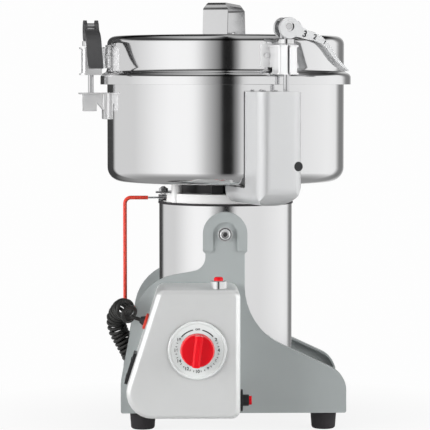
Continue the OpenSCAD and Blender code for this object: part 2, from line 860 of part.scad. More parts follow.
module lid_bracket(square_body) {
    body = sleeve_d / 2;
    difference() {
        union() {
            lid_strap(lid_strap_z, strap_h, strap_t, bowl_r);
            bracket_shape(square_body, 0, bracket_z, bracket_h);
            for (z = [bracket_z, bracket_top - flange_edge]) bracket_shape(square_body, -flange_lip, z, flange_edge);
            // web from the left body to the strap
            if (square_body) translate([bowl_r + strap_t / 2 - latch_r, -neck_w / 2, lid_strap_z])
                cube([latch_r - bowl_r - strap_t / 2 + body_x - body + 2 * sleeve_wall, neck_w, bracket_top - lid_strap_z]);
        }
        // inside of the body, between its two flanges
        bracket_shape(square_body, sleeve_wall, bracket_z + flange_t, bracket_h - 2 * flange_t);
        // clear of the lid's wall and skirt
        translate([-latch_r, 0, 0]) disc(bowl_r, bracket_z - over, lid_strap_z + strap_h - bracket_z);
        translate([-latch_r, 0, 0]) disc(flare_r + rub_gap, bracket_z - over, lid_strap_z - bracket_z + over);
        lid_rivet_places() disc(rivet_hole_r, -over, 2 * over + strap_t);
    }
}

module bracket_shape(square_body, d, z, h) {
    half = square_body ? sleeve_d / 2 : post_body_half;
    from = square_body ? body_x - half : post_body_in;
    to = square_body ? body_x + half : post_body_out;
    round = (square_body ? flange_round : toe_r) - d;
    translate([0, 0, z]) linear_extrude(h) polygon(outline([
        [from + d, -half + d, round], [to - d, -half + d, round], [to - d, half - d, round], [from + d, half - d, round]
    ]));
}
lid_strap_z = rim_z + seal_t + groove_h + bowl_wall;
rivet_r = 2.4;
rivet_hole_r = 1.8;
rivet_h = 1.6;

module lid_rivet_places() {
    for (s = [-1, 1]) translate([-latch_r, 0, 0]) rotate([0, 0, s * rivet_az])
        translate([bowl_r, 0, lid_strap_z + strap_h / 2]) rotate([0, 90, 0]) children();
}
rivet_az = 6.4;

module right_lid_bracket() color([0.85, 0.86, 0.87]) at_latch(right_az) difference() {
    lid_bracket(false);
    disc(latch_bolt_d / 2 + rub_gap, bracket_z - over, bracket_h + 2 * over);
    translate([latch_bolt_d / 2, -post_slot_w / 2, bracket_z - over]) cube([flange_w, post_slot_w, bracket_h + 2 * over]);
}

module left_lid_bracket() color([0.85, 0.86, 0.87]) at_latch(left_az) difference() {
    lid_bracket(true);
    disc(slot_w / 2, bracket_z - over, bracket_h + 2 * over);
    // the open side and the slots let the bolt swing out, and the notch lets its collar pass
    translate([0, -slot_w / 2, bracket_z - over]) cube([flange_w, slot_w, bracket_h + 2 * over]);
    translate([0, -sleeve_d / 2 + sleeve_wall, bracket_z + flange_t])
        cube([flange_w, sleeve_d - 2 * sleeve_wall, bracket_h - 2 * flange_t]);
    translate([slot_lip, -collar_w / 2 - 2 * rub_gap, bracket_top - flange_t - over])
        cube([flange_w, collar_w + 4 * rub_gap, flange_t + 2 * over]);
}

// Strap handle's and brackets' rivets
handle_rivet_r = 3;

module lid_rivets() color([0.78, 0.79, 0.8]) {
    for (az = [left_az, right_az]) at_latch(az) lid_rivet_places() {
        disc(rivet_r, strap_t + rivet_sag, rivet_h);
        disc(rivet_hole_r, rivet_sag, strap_t + over / 2);
    }
    translate([handle_x, 0, 0]) rotate([0, 0, 90 - handle_turn]) for (s = [-1, 1])
        translate([s * (handle_l / 2 - handle_t - handle_foot / 2), 0, lid_top + handle_foot_t]) disc(handle_rivet_r, 0, rivet_h);
}
rivet_sag = 0.05;

barrel_r = 6;

module latch_rod(low) {
    difference() {
        union() {
            disc(latch_bolt_d / 2, low, pin_z - low);
            along_x(pin_z) translate([0, 0, -fork_gap / 2 + rub_gap]) cylinder(r = barrel_r, h = fork_gap - 2 * rub_gap);
        }
        along_x(pin_z) translate([0, 0, -fork_gap]) cylinder(r = lever_pin_d / 2, h = 2 * fork_gap);
    }
}

// The collar under the lever's ring
module latch_collar() {
    difference() {
        disc(collar_w / 2, collar_seat + collar_gap, collar_h);
        disc(latch_bolt_d / 2, collar_seat, collar_gap + collar_h + over);
    }
}

module lever_pin() {
    half = fork_gap / 2 + cheek_t - lever_recess;
    along_x(pin_z) disc(lever_pin_d / 2, -half, 2 * half);
}
lever_recess = 1.6;      // depth of the round recess around each end of the pin
lever_recess_r = 4.8;

// Lever: two cheeks with rings, joined by a curved broad face that thins towards its tip
lever_upper_shares = [
    [0.16, 0.146], [0.218, 0.01], [0.288, -0.049], [0.39, -0.093], [0.52, -0.185],
    [0.623, -0.332], [0.717, -0.537], [0.797, -0.707], [0.889, -0.861], [0.985, -0.985]
];
lever_lower_shares = [
    [0.96, -1], [0.928, -0.965], [0.84, -0.875], [0.745, -0.75], [0.68, -0.63],
    [0.607, -0.48], [0.52, -0.36], [0.4, -0.29], [0.241, -0.254], [0.148, -0.212]
];

function lever_point(s) = [s[0] * lever_reach, ring_z + s[1] * lever_drop];

module lever_side() {
    difference() {
        union() {
            translate([0, ring_z]) circle(r = ring_r);
            polygon(concat([[ring_r * 0.7, ring_z + ring_r * 0.7]], [for (s = lever_upper_shares) lever_point(s)],
                [for (s = lever_lower_shares) lever_point(s)], [[0, ring_z - ring_r * 0.7]]));
        }
        translate([0, pin_z]) circle(r = lever_pin_d / 2 + run_gap);
    }
}

// The stretch between the cheeks: only the skin under the upper edge, so that the fork stays open at the ring
module lever_web() {
    upper = [for (i = [1:len(lever_upper_shares) - 1]) lever_point(lever_upper_shares[i])];
    polygon(concat(upper, [for (i = [len(upper) - 1:-1:0]) upper[i] + lever_web_t * unit([-web_lean, -1])]));
}
web_lean = 0.55;

lever_tip_round = 3;
lever_tip = lever_upper_shares[len(lever_upper_shares) - 1][0] * lever_reach;

module lever() {
    gap = fork_gap / 2;
    half = gap + cheek_t;
    difference() {
        intersection() {
            rotate([90, 0, 90]) {
                for (x = [-half, gap]) translate([0, 0, x]) linear_extrude(cheek_t) lever_side();
                translate([0, 0, -gap]) linear_extrude(fork_gap) intersection() {
                    lever_side();
                    lever_web();
                }
            }
            translate([0, 0, ring_z - lever_reach]) linear_extrude(2 * lever_reach) polygon(outline([
                [-half, -2 * ring_r, 0], [half, -2 * ring_r, 0],
                [half, lever_tip, lever_tip_round], [-half, lever_tip, lever_tip_round]
            ]));
        }
        along_x(pin_z) for (z = [-half - over, half - lever_recess]) disc(lever_recess_r, z, lever_recess + over);
    }
}

module right_lever() color([0.82, 0.83, 0.84]) at_latch(right_az) lever();
module left_lever() color([0.82, 0.83, 0.84]) at_latch(left_az)
    translate([0, 0, pin_z]) rotate([left_lever_up, 0, 0]) translate([0, 0, -pin_z]) lever();
left_lever_up = 2.2;     // the left lever's tip rests a little higher
module right_lever_pin() color([0.7, 0.7, 0.71]) at_latch(right_az) lever_pin();
module left_lever_pin() color([0.7, 0.7, 0.71]) at_latch(left_az) lever_pin();
module right_collar() color([0.85, 0.85, 0.86]) at_latch(right_az) latch_collar();
module left_collar() color([0.85, 0.85, 0.86]) at_latch(left_az) latch_collar();

// Hinge post: slides up in the arm with the lid, and its head stops under the guide
lid_lift = 22;
rod_head_r = 5;
rod_head_h = 5;
guide_l = 40;

module post_rod() color([0.8, 0.81, 0.82]) at_latch(right_az) {
    latch_rod(rod_low);
    disc(rod_head_r, rod_low, rod_head_h);
}

// Swing bolt: an eye on the bowl bracket's pin
clamp_pin_z = 324;
clamp_pin_r = 2.5;
clamp_eye_r = 5.2;
clamp_eye_w = 8;

module clamp_bolt() color([0.8, 0.81, 0.82]) at_latch(left_az) {
    difference() {
        union() {
            latch_rod(clamp_pin_z);
            translate([0, clamp_eye_w / 2, clamp_pin_z]) rotate([90, 0, 0]) cylinder(r = clamp_eye_r, h = clamp_eye_w);
        }
        translate([0, clamp_eye_w, clamp_pin_z]) rotate([90, 0, 0]) cylinder(r = clamp_pin_r + run_gap, h = 2 * clamp_eye_w);
    }
}

// Bowl bracket: a clevis on a strap, open outwards
clevis_gap = clamp_eye_w + 2 * rub_gap;
clevis_t = 3;
clevis_top = 333;
clevis_low = 316;
clevis_out = 8;
clevis_notch_x = -5.5;    // the cheeks' slanting cut below the pin
clevis_notch_z = 325;
clevis_pad_out = -12;     // flat pad between the strap and the cheeks
clevis_pad_half = 12;
bowl_strap_h = 25;
bowl_strap_z = 308;
shelf_t = 1.6;
shelf_out = 11.8;

module bowl_bracket() color([0.82, 0.83, 0.84]) at_latch(left_az) {
    back = bowl_r + strap_t / 2 - latch_r;
    difference() {
        union() {
            lid_strap(bowl_strap_z, bowl_strap_h + shelf_t, strap_t, bowl_r);
            for (y = [-clevis_gap / 2, clevis_gap / 2 + clevis_t]) facing_front(y) linear_extrude(clevis_t) polygon([
                [clevis_out, clevis_top + shelf_t / 2], [clevis_out, clevis_low], [clevis_notch_x, clevis_low],
                [clevis_notch_x, clevis_notch_z], [clevis_pad_out - over, clevis_low], [clevis_pad_out - over, clevis_top + shelf_t / 2]
            ]);
            translate([back, -clevis_pad_half, bowl_strap_z])
                cube([clevis_pad_out - back, 2 * clevis_pad_half, bowl_strap_h + shelf_t]);
            translate([back, -flange_w / 2, clevis_top]) cube([shelf_out - back, flange_w, shelf_t]);
        }
        translate([-latch_r, 0, 0]) disc(bowl_r, bowl_strap_z, bowl_strap_h + 2 * shelf_t);
        // slot of the top plate, open outwards
        disc(slot_w / 2, clevis_top - over, shelf_t + 2 * over);
        translate([0, -slot_w / 2, clevis_top - over]) cube([flange_w, slot_w, shelf_t + 2 * over]);
    }
    translate([0, clevis_gap / 2 + clevis_t, clamp_pin_z]) rotate([90, 0, 0]) cylinder(r = clamp_pin_r, h = clevis_gap + 2 * clevis_t);
}

// Arm: an L-shaped casting, in a frame with X outwards along its own compass line and Y across it
arm_r = 142;            // distance of the column's middle from the bowl's axis
arm_low = 227;
arm_top = 336;
arm_bar_top = 243.3;
arm_in = 65;            // where the bar ends, beside the neck
arm_heel = 18;          // rounding of the low outer edge

module arm_form(d) {
    half = arm_w / 2;
    out = arm_r + arm_d / 2;
    intersection() {
        // seen from above
        translate([0, 0, arm_low + d]) linear_extrude(arm_top - arm_low - d - (d > 0 ? -over : 0)) union() {
            polygon(outline(inset([
                [arm_r - arm_d / 2, -half, step_r], [out, -half, arm_round],
                [out, half, arm_round], [arm_r - arm_d / 2, half, step_r]
            ], d)));
            translate([arm_in + d, -half + d]) square([arm_r - arm_in - d, arm_w - 2 * d]);
        }
        // seen along the arm
        rotate([90, 0, 90]) linear_extrude(out) polygon(outline(inset([
            [-half, arm_low, arm_round], [half, arm_low, arm_elbow], [half, arm_top + 2 * over, 0], [-half, arm_top + 2 * over, 0]
        ], d)));
        // seen from the side
        rotate([90, 0, 0]) translate([0, 0, -half]) linear_extrude(arm_w) polygon(outline(inset([
            [arm_in, arm_low, toe_r], [out, arm_low, arm_heel], [out, arm_top + 2 * over, 0],
            [arm_r - arm_d / 2, arm_top + 2 * over, 0], [arm_r - arm_d / 2, arm_bar_top, toe_r], [arm_in, arm_bar_top, toe_r]
        ], d)));
    }
}

guide_r = 7;
arm_cap_t = 3;
plug_r = 4.6;
plug_z = 265;

module at_arm() {
    rotate([0, 0, arm_az]) children();
}

arm_pad_r = 5;
arm_pads = [[80, -12], [80, 12], [100, 0]];
tongue_in = 47;
tongue_w = 32;
rod_low = arm_top - guide_l - lid_lift - rub_gap - rod_head_h;

module arm() color([0.84, 0.84, 0.85]) {
    difference() {
        union() {
            difference() {
                at_arm() arm_form(0);
                difference() {
                    at_arm() arm_form(arm_wall);
                    disc(2 * arm_r, arm_top - arm_cap_t, arm_cap_t + 2 * over);
                }
            }
            // guide for the hinge post
            at_latch(right_az) disc(guide_r, arm_top - guide_l, guide_l - arm_cap_t / 2);
            // tongue on the neck ring
            at_arm() translate([tongue_in, -tongue_w / 2, neck_top]) cube([arm_in + arm_wall - tongue_in, tongue_w, arm_bar_top - neck_top]);
            // pads under the bowl
            at_arm() for (p = arm_pads) translate([p[0], p[1], 0]) disc(arm_pad_r, arm_bar_top - arm_wall, bowl_z - arm_bar_top + arm_wall);
        }
        at_latch(right_az) disc(latch_bolt_d / 2 + run_gap, arm_top - guide_l - over, guide_l + 2 * over);
        at_plug() translate([0, 0, -arm_wall * 3]) cylinder(r = plug_r, h = arm_wall * 6);
    }
}

plug_y = 17;

module at_plug() {
    at_arm() translate([arm_r + arm_d / 2 - plug_sink, plug_y, plug_z]) rotate([0, 90, 0]) children();
}
plug_sink = 2;
plug_head_r = 5.4;

module arm_plug() color([0.06, 0.06, 0.06]) at_plug() {
    translate([0, 0, -plug_l]) cylinder(r = plug_r, h = plug_l + plug_proud);
}
plug_l = 3;
plug_proud = 1;

arm_screw_r = 2.8;
arm_screw_h = 1.6;
arm_screw_y = 12;
tongue_screw_in = 52;

module arm_screws() color([0.75, 0.76, 0.77]) at_arm() {
    for (y = [-arm_screw_y, 0]) translate([arm_r, y, arm_top]) disc(arm_screw_r, 0, arm_screw_h);
    for (y = [-tongue_w / 4, tongue_w / 4]) translate([tongue_screw_in, y, arm_bar_top]) disc(arm_screw_r, 0, arm_screw_h);
}

switch_l = 20;
switch_w = 16;
switch_h = 15;
switch_travel = 1.3;
clip_w = 11.7;
clip_x = -15.7;
clip_y = -56;
clip_d = 10;
clip_h = 9;

module lid_switch() color([0.1, 0.1, 0.11]) {
    // the switch under the hinge post, and the clip that holds its lead on the neck
    at_latch(right_az) translate([-switch_l / 2, -switch_w * 0.75, rod_low - switch_h - switch_travel])
        cube([switch_l, switch_w, switch_h]);
    translate([clip_x, clip_y, neck_top]) cube([clip_w, clip_d, clip_h]);
}

// Cord hanger: a coated rod from the neck down to the curly cord
hanger_wire_r = 2;
hanger_y = -20;
hanger_z = 229;
hanger_x = -102;
hanger_low = 122;
hanger_bend = 6;
hanger_root = -65;
hanger_coat = -78.8;      // the coating ends here and the bare wire goes on
hanger_bare_r = 0.9;
hanger_hook = 5;

function arc_3d(c, r, a, b, n) = [for (i = [0:n]) [c[0] + r * cos(a + (b - a) * i / n), hanger_y, c[1] + r * sin(a + (b - a) * i / n)]];

hanger_line = concat(
    [[hanger_root, hanger_y, hanger_z], [hanger_coat + touch_gap, hanger_y, hanger_z], [hanger_coat, hanger_y, hanger_z]],
    arc_3d([hanger_x + hanger_bend, hanger_z - hanger_bend], hanger_bend, 90, 180, corner_steps),
    arc_3d([hanger_x + hanger_hook, hanger_low], hanger_hook, 180, 330, corner_steps)
);

module cord_hanger() color([0.82, 0.2, 0.16])
    swept_tube(hanger_line, [for (i = [0:len(hanger_line) - 1]) i < 2 ? hanger_bare_r : hanger_wire_r], 10);

ear_tab_out = 71;
ear_tab_in = 50;
ear_tab_w = 12;
ear_tab_t = 1.5;
ear_nut_x = 63.2;
ear_nut_r = 4.6;
ear_nut_h = 3.2;
ear_dome_h = 2;
ear_barrel_r = 3.2;
ear_barrel_l = 8;

// A tab on the neck ring; its cap nut and bolt hold the barrel that grips the rod
module hanger_clamp() color([0.8, 0.8, 0.81]) {
    difference() {
        union() {
            translate([-ear_tab_out, hanger_y - ear_tab_w / 2, neck_top]) cube([ear_tab_out - ear_tab_in, ear_tab_w, ear_tab_t]);
            translate([-ear_nut_x - ear_barrel_l / 2 - over, hanger_y, hanger_z]) rotate([0, 90, 0]) cylinder(r = ear_barrel_r, h = ear_barrel_l);
            translate([-ear_nut_x - ear_barrel_l / 4, hanger_y, hanger_z]) cylinder(r = ear_barrel_r / 2, h = neck_top - hanger_z + over);
            translate([-ear_nut_x, hanger_y, neck_top + ear_tab_t]) cylinder(r = ear_nut_r, h = ear_nut_h, $fn = 6);
            translate([-ear_nut_x, hanger_y, neck_top + ear_tab_t + ear_nut_h]) cylinder(r1 = ear_nut_r * 0.8, r2 = ear_nut_r * 0.3, h = ear_dome_h);
        }
        disc(neck_d / 2, neck_z - over, neck_h + over);
        translate([-ear_nut_x - ear_barrel_l - over, hanger_y, hanger_z]) rotate([0, 90, 0]) cylinder(r = hanger_bare_r, h = ear_barrel_l);
    }
}

// Control box
box_low_r = 25;
box_corner_r = 8;
back_t = 1.5;
box_front = plate_face + box_depth;
box_corners = [
    [-box_left_low, box_bottom, box_low_r],
    [box_right, box_bottom, box_corner_r],
    [box_right, box_top, box_corner_r],
    [-box_left_top, box_top, box_corner_r]
];
slant = atan2(box_left_low - box_left_top, box_top - box_bottom);

function slant_x(z) = -box_left_top - (box_top - z) * tan(slant);

// A frame on the slanted side: X up the side, Z out of it
module on_slant(y, z) {
    translate([slant_x(z), y, z]) rotate([0, slant - 90, 0]) children();
}

box_mid_y = -plate_face - box_depth / 2;
start_x = -10.4;
start_y = -133;
start_hole_r = 5.5;
reset_z = 36;
reset_y = -110;
reset_hole_r = 6;
rocker_z = 68;
rocker_w = 25;
rocker_l = 31;
rocker_wall = 2.5;
gland_z = 113;
gland_hole_r = 5;
timer_shaft_r = 3;
timer_hole_r = 4;

module control_box() color([0.8, 0.81, 0.8]) difference() {
    facing_front(-plate_face) soft_prism(box_corners, box_depth, box_edge);
    facing_front(-plate_face + over) linear_extrude(box_depth - box_wall + over)
        polygon(outline(inset(box_corners, box_wall)));
    // dial, start button, reset button, rocker and gland openings
    facing_front(-box_front + 2 * box_wall) translate([dial_x, dial_z]) cylinder(r = timer_hole_r, h = 3 * box_wall);
    translate([start_x, start_y, box_top - 2 * box_wall]) cylinder(r = start_hole_r, h = 3 * box_wall);
    translate([box_right - 2 * box_wall, reset_y, reset_z]) rotate([0, 90, 0]) cylinder(r = reset_hole_r, h = 3 * box_wall);
    on_slant(box_mid_y, rocker_z) translate([-rocker_l / 2 + rocker_wall, -rocker_w / 2 + rocker_wall, -2 * box_wall])
        cube([rocker_l - 2 * rocker_wall, rocker_w - 2 * rocker_wall, 3 * box_wall]);
    on_slant(box_mid_y, gland_z) translate([0, 0, -2 * box_wall]) cylinder(r = gland_hole_r, h = 3 * box_wall);
}

module box_back() color([0.6, 0.61, 0.61]) difference() {
    facing_front(-plate_face) linear_extrude(back_t) polygon(outline(inset(box_corners, box_wall + touch_gap)));
    facing_front(-plate_face + over) translate([lead_x, lead_z]) cylinder(r = lead_hole_r, h = back_t + 2 * over);
}

timer_w = 46;
timer_d = 34;

module timer_body() color([0.55, 0.5, 0.4]) {
    y = -box_front + box_wall;
    translate([dial_x - timer_w / 2, y, dial_z - timer_w / 2]) cube([timer_w, timer_d, timer_w]);
    facing_front(y) translate([dial_x, dial_z]) cylinder(r = timer_shaft_r, h = box_wall + dial_t + knob_h / 2);
}

dial_rim = 2.6;
dial_dip = 0.8;

module dial_plate() color([0.83, 0.84, 0.83]) facing_front(-box_front) translate([dial_x, dial_z]) difference() {
    rotate_extrude() polygon([
        [timer_hole_r, 0], [dial_d / 2, 0], [dial_d / 2, dial_t - dial_dip], [dial_d / 2 - dial_dip, dial_t],
        [dial_d / 2 - dial_rim, dial_t], [dial_d / 2 - dial_rim - dial_dip, dial_t - dial_dip], [timer_hole_r, dial_t - dial_dip]
    ]);
}

knob_base_share = 0.5;
grip_round = 2.5;

module timer_knob() color([0.85, 0.07, 0.11]) facing_front(-box_front - dial_t) translate([dial_x, dial_z]) difference() {
    union() {
        rotate_extrude() polygon(outline([
            [0, touch_gap, 0], [knob_d / 2, touch_gap, 0], [knob_d / 2 - step_r, knob_h * knob_base_share, step_r], [0, knob_h * knob_base_share, 0]
        ]));
        rotate([0, 0, -grip_tilt]) intersection() {
            translate([0, 0, touch_gap]) cylinder(r = knob_d / 2 - step_r, h = knob_h);
            rotate([90, 0, 0]) translate([0, 0, -knob_d / 2]) linear_extrude(knob_d) polygon(outline([
                [-grip_w / 2, touch_gap, 0], [grip_w / 2, touch_gap, 0],
                [grip_w / 2 - step_r / 2, knob_h, grip_round], [-grip_w / 2 + step_r / 2, knob_h, grip_round]
            ]));
        }
    }
    translate([0, 0, -over]) cylinder(r = timer_shaft_r + run_gap, h = knob_h / 2 + over + rub_gap);
}

start_collar_h = 8;
start_cap_out = 3.4;
start_stem_l = 12;

module start_collar() color([0.9, 0.9, 0.9]) translate([start_x, start_y, box_top]) difference() {
    rotate_extrude() polygon([
        [start_cap_d / 2 + run_gap, -box_wall], [start_hole_r, -box_wall], [start_hole_r, 0], [start_collar_d / 2, 0],
        [start_collar_d / 2, start_collar_h - step_r / 2], [start_collar_d / 2 - step_r / 2, start_collar_h], [start_cap_d / 2 + run_gap, start_collar_h]
    ]);
}

module start_button() color([0.85, 0.1, 0.1]) translate([start_x, start_y, box_top]) rotate_extrude() polygon([
    [0, start_collar_h - start_stem_l], [start_cap_d / 2, start_collar_h - start_stem_l],
    [start_cap_d / 2, start_collar_h + start_cap_out - step_r], [start_cap_d / 2 - step_r, start_collar_h + start_cap_out],
    [0, start_collar_h + start_cap_out]
]);

reset_flange_t = 3.4;
reset_neck_r = 5.6;
reset_neck_l = 9.4;
reset_cap_r = 4.4;
reset_cap_out = 2.8;

module at_reset() {
    translate([box_right, reset_y, reset_z]) rotate([0, 90, 0]) children();
}

module reset_body() color([0.07, 0.07, 0.07]) at_reset() difference() {
    union() {
        disc(reset_flange_d / 2, 0, reset_flange_t);
        disc(reset_neck_r, 0, reset_neck_l);
        disc(reset_hole_r, -box_wall - reset_inside, box_wall + reset_inside);
    }
    disc(reset_cap_r + run_gap, reset_neck_l - reset_travel - reset_cap_l, reset_travel + reset_cap_l + over);
}
reset_inside = 14;
reset_cap_l = 6;

module reset_button() color([0.85, 0.1, 0.1]) at_reset()
    disc(reset_cap_r, reset_neck_l - reset_cap_l, reset_cap_l + reset_cap_out);

rocker_lip_t = 3;
rocker_in = 20;
rocker_rest = 8;         // the rocker lies tilted by this angle
rocker_half = 4;
rocker_r = 15;
rocker_clear = 0.4;

module rocker_frame() color([0.07, 0.07, 0.08]) on_slant(box_mid_y, rocker_z) difference() {
    union() {
        translate([-rocker_l / 2, -rocker_w / 2, 0]) cube([rocker_l, rocker_w, rocker_lip_t]);
        translate([-rocker_l / 2 + rocker_wall, -rocker_w / 2 + rocker_wall, -rocker_in])
            cube([rocker_l - 2 * rocker_wall, rocker_w - 2 * rocker_wall, rocker_in]);
    }
    translate([-rocker_l / 2 + 2 * rocker_wall, -rocker_w / 2 + 2 * rocker_wall, -rocker_in + rocker_wall])
        cube([rocker_l - 4 * rocker_wall, rocker_w - 4 * rocker_wall, rocker_in + rocker_lip_t]);
    rocker_pivot(rocker_pivot_r + run_gap, touch_gap);
}

rocker_pivot_r = 1.5;
rocker_pivot_l = 1;     // the pivots reach this far into the frame's walls

// The line on which the rocker tips, on the slanted side's face
module rocker_pivot(r, more) {
    half = rocker_w / 2 - 2 * rocker_wall + rocker_pivot_l + more;
    rotate([90, 0, 0]) translate([0, 0, -half]) cylinder(r = r, h = 2 * half);
}

module rocker() color([0.09, 0.09, 0.1]) on_slant(box_mid_y, rocker_z) {
    len_half = rocker_l / 2 - 2 * rocker_wall - rocker_clear;
    wide = rocker_w - 4 * rocker_wall - 2 * rocker_clear;
    rocker_pivot(rocker_pivot_r, 0);
    rotate([90, 0, 0]) translate([0, 0, -wide / 2]) linear_extrude(wide) polygon([
        [0, -rocker_half], [len_half, 0], [len_half - over, rocker_lip_t + over], [0, rocker_lip_t - step_r], [-len_half + over, rocker_lip_t + over / 2], [-len_half, 0]
    ]);
}

gland_flange_r = 8;
gland_flange_t = 2.5;
gland_nose_r = 4;
gland_nose_l = 7;

module cord_gland() {
    difference() {
        union() {
            disc(gland_flange_r, 0, gland_flange_t);
            translate([0, 0, gland_flange_t]) cylinder(r1 = gland_nose_r + over, r2 = gland_nose_r - over, h = gland_nose_l - gland_flange_t);
            disc(gland_hole_r, -box_wall, box_wall);
        }
        disc(cord_d / 2 + touch_gap, gland_nose_l - gland_grip, gland_grip + over);
    }
}
gland_grip = 3;

module box_cord_gland() color([0.75, 0.2, 0.13]) on_slant(box_mid_y, gland_z) cord_gland();

module motor_cord_gland() color([0.1, 0.1, 0.1]) at_cord_port() difference() {
    union() {
        disc(cord_port_r, motor_r - motor_wall, motor_wall + over);
        disc(cord_port_r + step_r, motor_r + gland_lip, gland_flange_t);
    }
    translate([0, 0, motor_r + gland_lip - touch_gap]) disc(cord_d / 2 + touch_gap, 0, gland_flange_t + over);
}
gland_lip = 0.4;

module mains_gland() color([0.08, 0.08, 0.08]) mirror([0, 1, 0]) facing_front(0) translate([mains_x, mains_z]) difference() {
    union() {
        disc(mains_r, plate_y, plate_t);
        disc(mains_r + 2 * toe_r, plate_face, gland_flange_t);
        disc(mains_r + 2 * toe_r, plate_y - gland_flange_t, gland_flange_t);
    }
    disc(mains_r / 2, plate_y - gland_flange_t - over, plate_t + 2 * gland_flange_t + 2 * over);
}

// Curly cord: its route, in hand-chosen points, and the curls wound round it
slant_out = [-cos(slant), 0, sin(slant)];
cord_start = [slant_x(gland_z), box_mid_y, gland_z] + (gland_nose_l - gland_grip) * slant_out;
port_out = [cos(cord_port_az), sin(cord_port_az), 0];
cord_end = (motor_r + gland_lip) * port_out + [0, 0, cord_port_z];
cord_route = [
    [-97, -104, 119], [-101, -92, 124], [-104, -72, 122], [-107, -54, 117], [-110.5, -42, 109],
    [-109, -36, 97], [-103.5, -34, 86], [-97.5, -32, 75], [-92, -27, 65]
];
// Share of the curls in each stretch, from the box to the motor: loose over the hanger, close below it
curl_shares = [0.2, 0.35, 0.35, 0.5, 0.5, 0.65, 0.85, 1, 1, 1, 0.6, 0.2];
cord_lead_in = 10;

function spline_point(a, b, c, d, t) =
    0.5 * ((2 * b) + (c - a) * t + (2 * a - 5 * b + 4 * c - d) * t * t + (3 * b - a - 3 * c + d) * t * t * t);
function spline(p, n) =
    [for (i = [1:len(p) - 3]) for (j = [0:n - 1]) spline_point(p[i - 1], p[i], p[i + 1], p[i + 2], j / n)];

rings_per_stretch = 27;
cord_points = concat([cord_start - cord_lead_in * slant_out, cord_start, cord_start + cord_lead_in * slant_out],
    cord_route, [cord_end + cord_lead_in * port_out, cord_end, cord_end - cord_lead_in * port_out]);
cord_mid = spline(cord_points, rings_per_stretch);
cord_last = len(cord_mid) - 1;
cord_way = [for (i = [0:cord_last]) unit(cord_mid[min(i + 1, cord_last)] - cord_mid[max(i - 1, 0)])];
cord_side = [for (i = 0, v = [0, 1, 0]; i <= cord_last; i = i + 1, v = i > cord_last ? v : unit(v - (v * cord_way[i]) * cord_way[i])) v];
// The curls open from the straight ends over one stretch
function swell(i) =
    let (n = rings_per_stretch, a = (i - n) / n, b = (cord_last - n - i) / n, s = max(0, min(1, a, b)))
    s * s * (3 - 2 * s);
curls_before = [for (k = 0, c = 0; k < len(curl_shares); c = c + curls * curl_shares[k], k = k + 1) c];
function curl_turn(i) =
    let (k = floor(i / rings_per_stretch))
    360 * (curls_before[k] + curls * curl_shares[k] * (i / rings_per_stretch - k));
cord_line = concat([for (i = [0:cord_last])
    let (a = curl_turn(i), r = swell(i) * (curl_d - cord_d) / 2)
    cord_mid[i] + r * (cos(a) * cord_side[i] + sin(a) * cross(cord_way[i], cord_side[i]))], [cord_end]);

module curly_cord() color([0.1, 0.1, 0.1]) swept_tube(cord_line, cord_d / 2, 6);

front_plate();
rear_plate();
base_pan();
feet();
base_screws();
pivot_bushes();
control_box();
box_back();
timer_body();
dial_plate();
timer_knob();
start_collar();
start_button();
reset_body();
reset_button();
rocker_frame();
rocker();
box_cord_gland();
mains_gland();
motor_housing();
motor_bottom_cover();
motor_gasket();
stator();
bearings();
brush_holders();
neck_ring();
neck_posts();
pivot_bolts();
pivot_washers();
motor_cord_gland();
curly_cord();
rotor_core();
shaft();
fan();
lower_blade();
upper_blade();
blade_nut();
bowl();
shaft_seal();
bowl_bracket();
cord_hanger();
hanger_clamp();
arm();
arm_plug();
arm_screws();
lid_switch();
lid();
lid_seal();
lid_handle();
lid_rivets();
left_lid_bracket();
right_lid_bracket();
post_rod();
right_collar();
right_lever_pin();
right_lever();
clamp_bolt();
left_collar();
left_lever_pin();
left_lever();
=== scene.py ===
"""Tilting electric grain mill: finishes and fine forms over its CAD frame."""

import json
import math
from collections import namedtuple

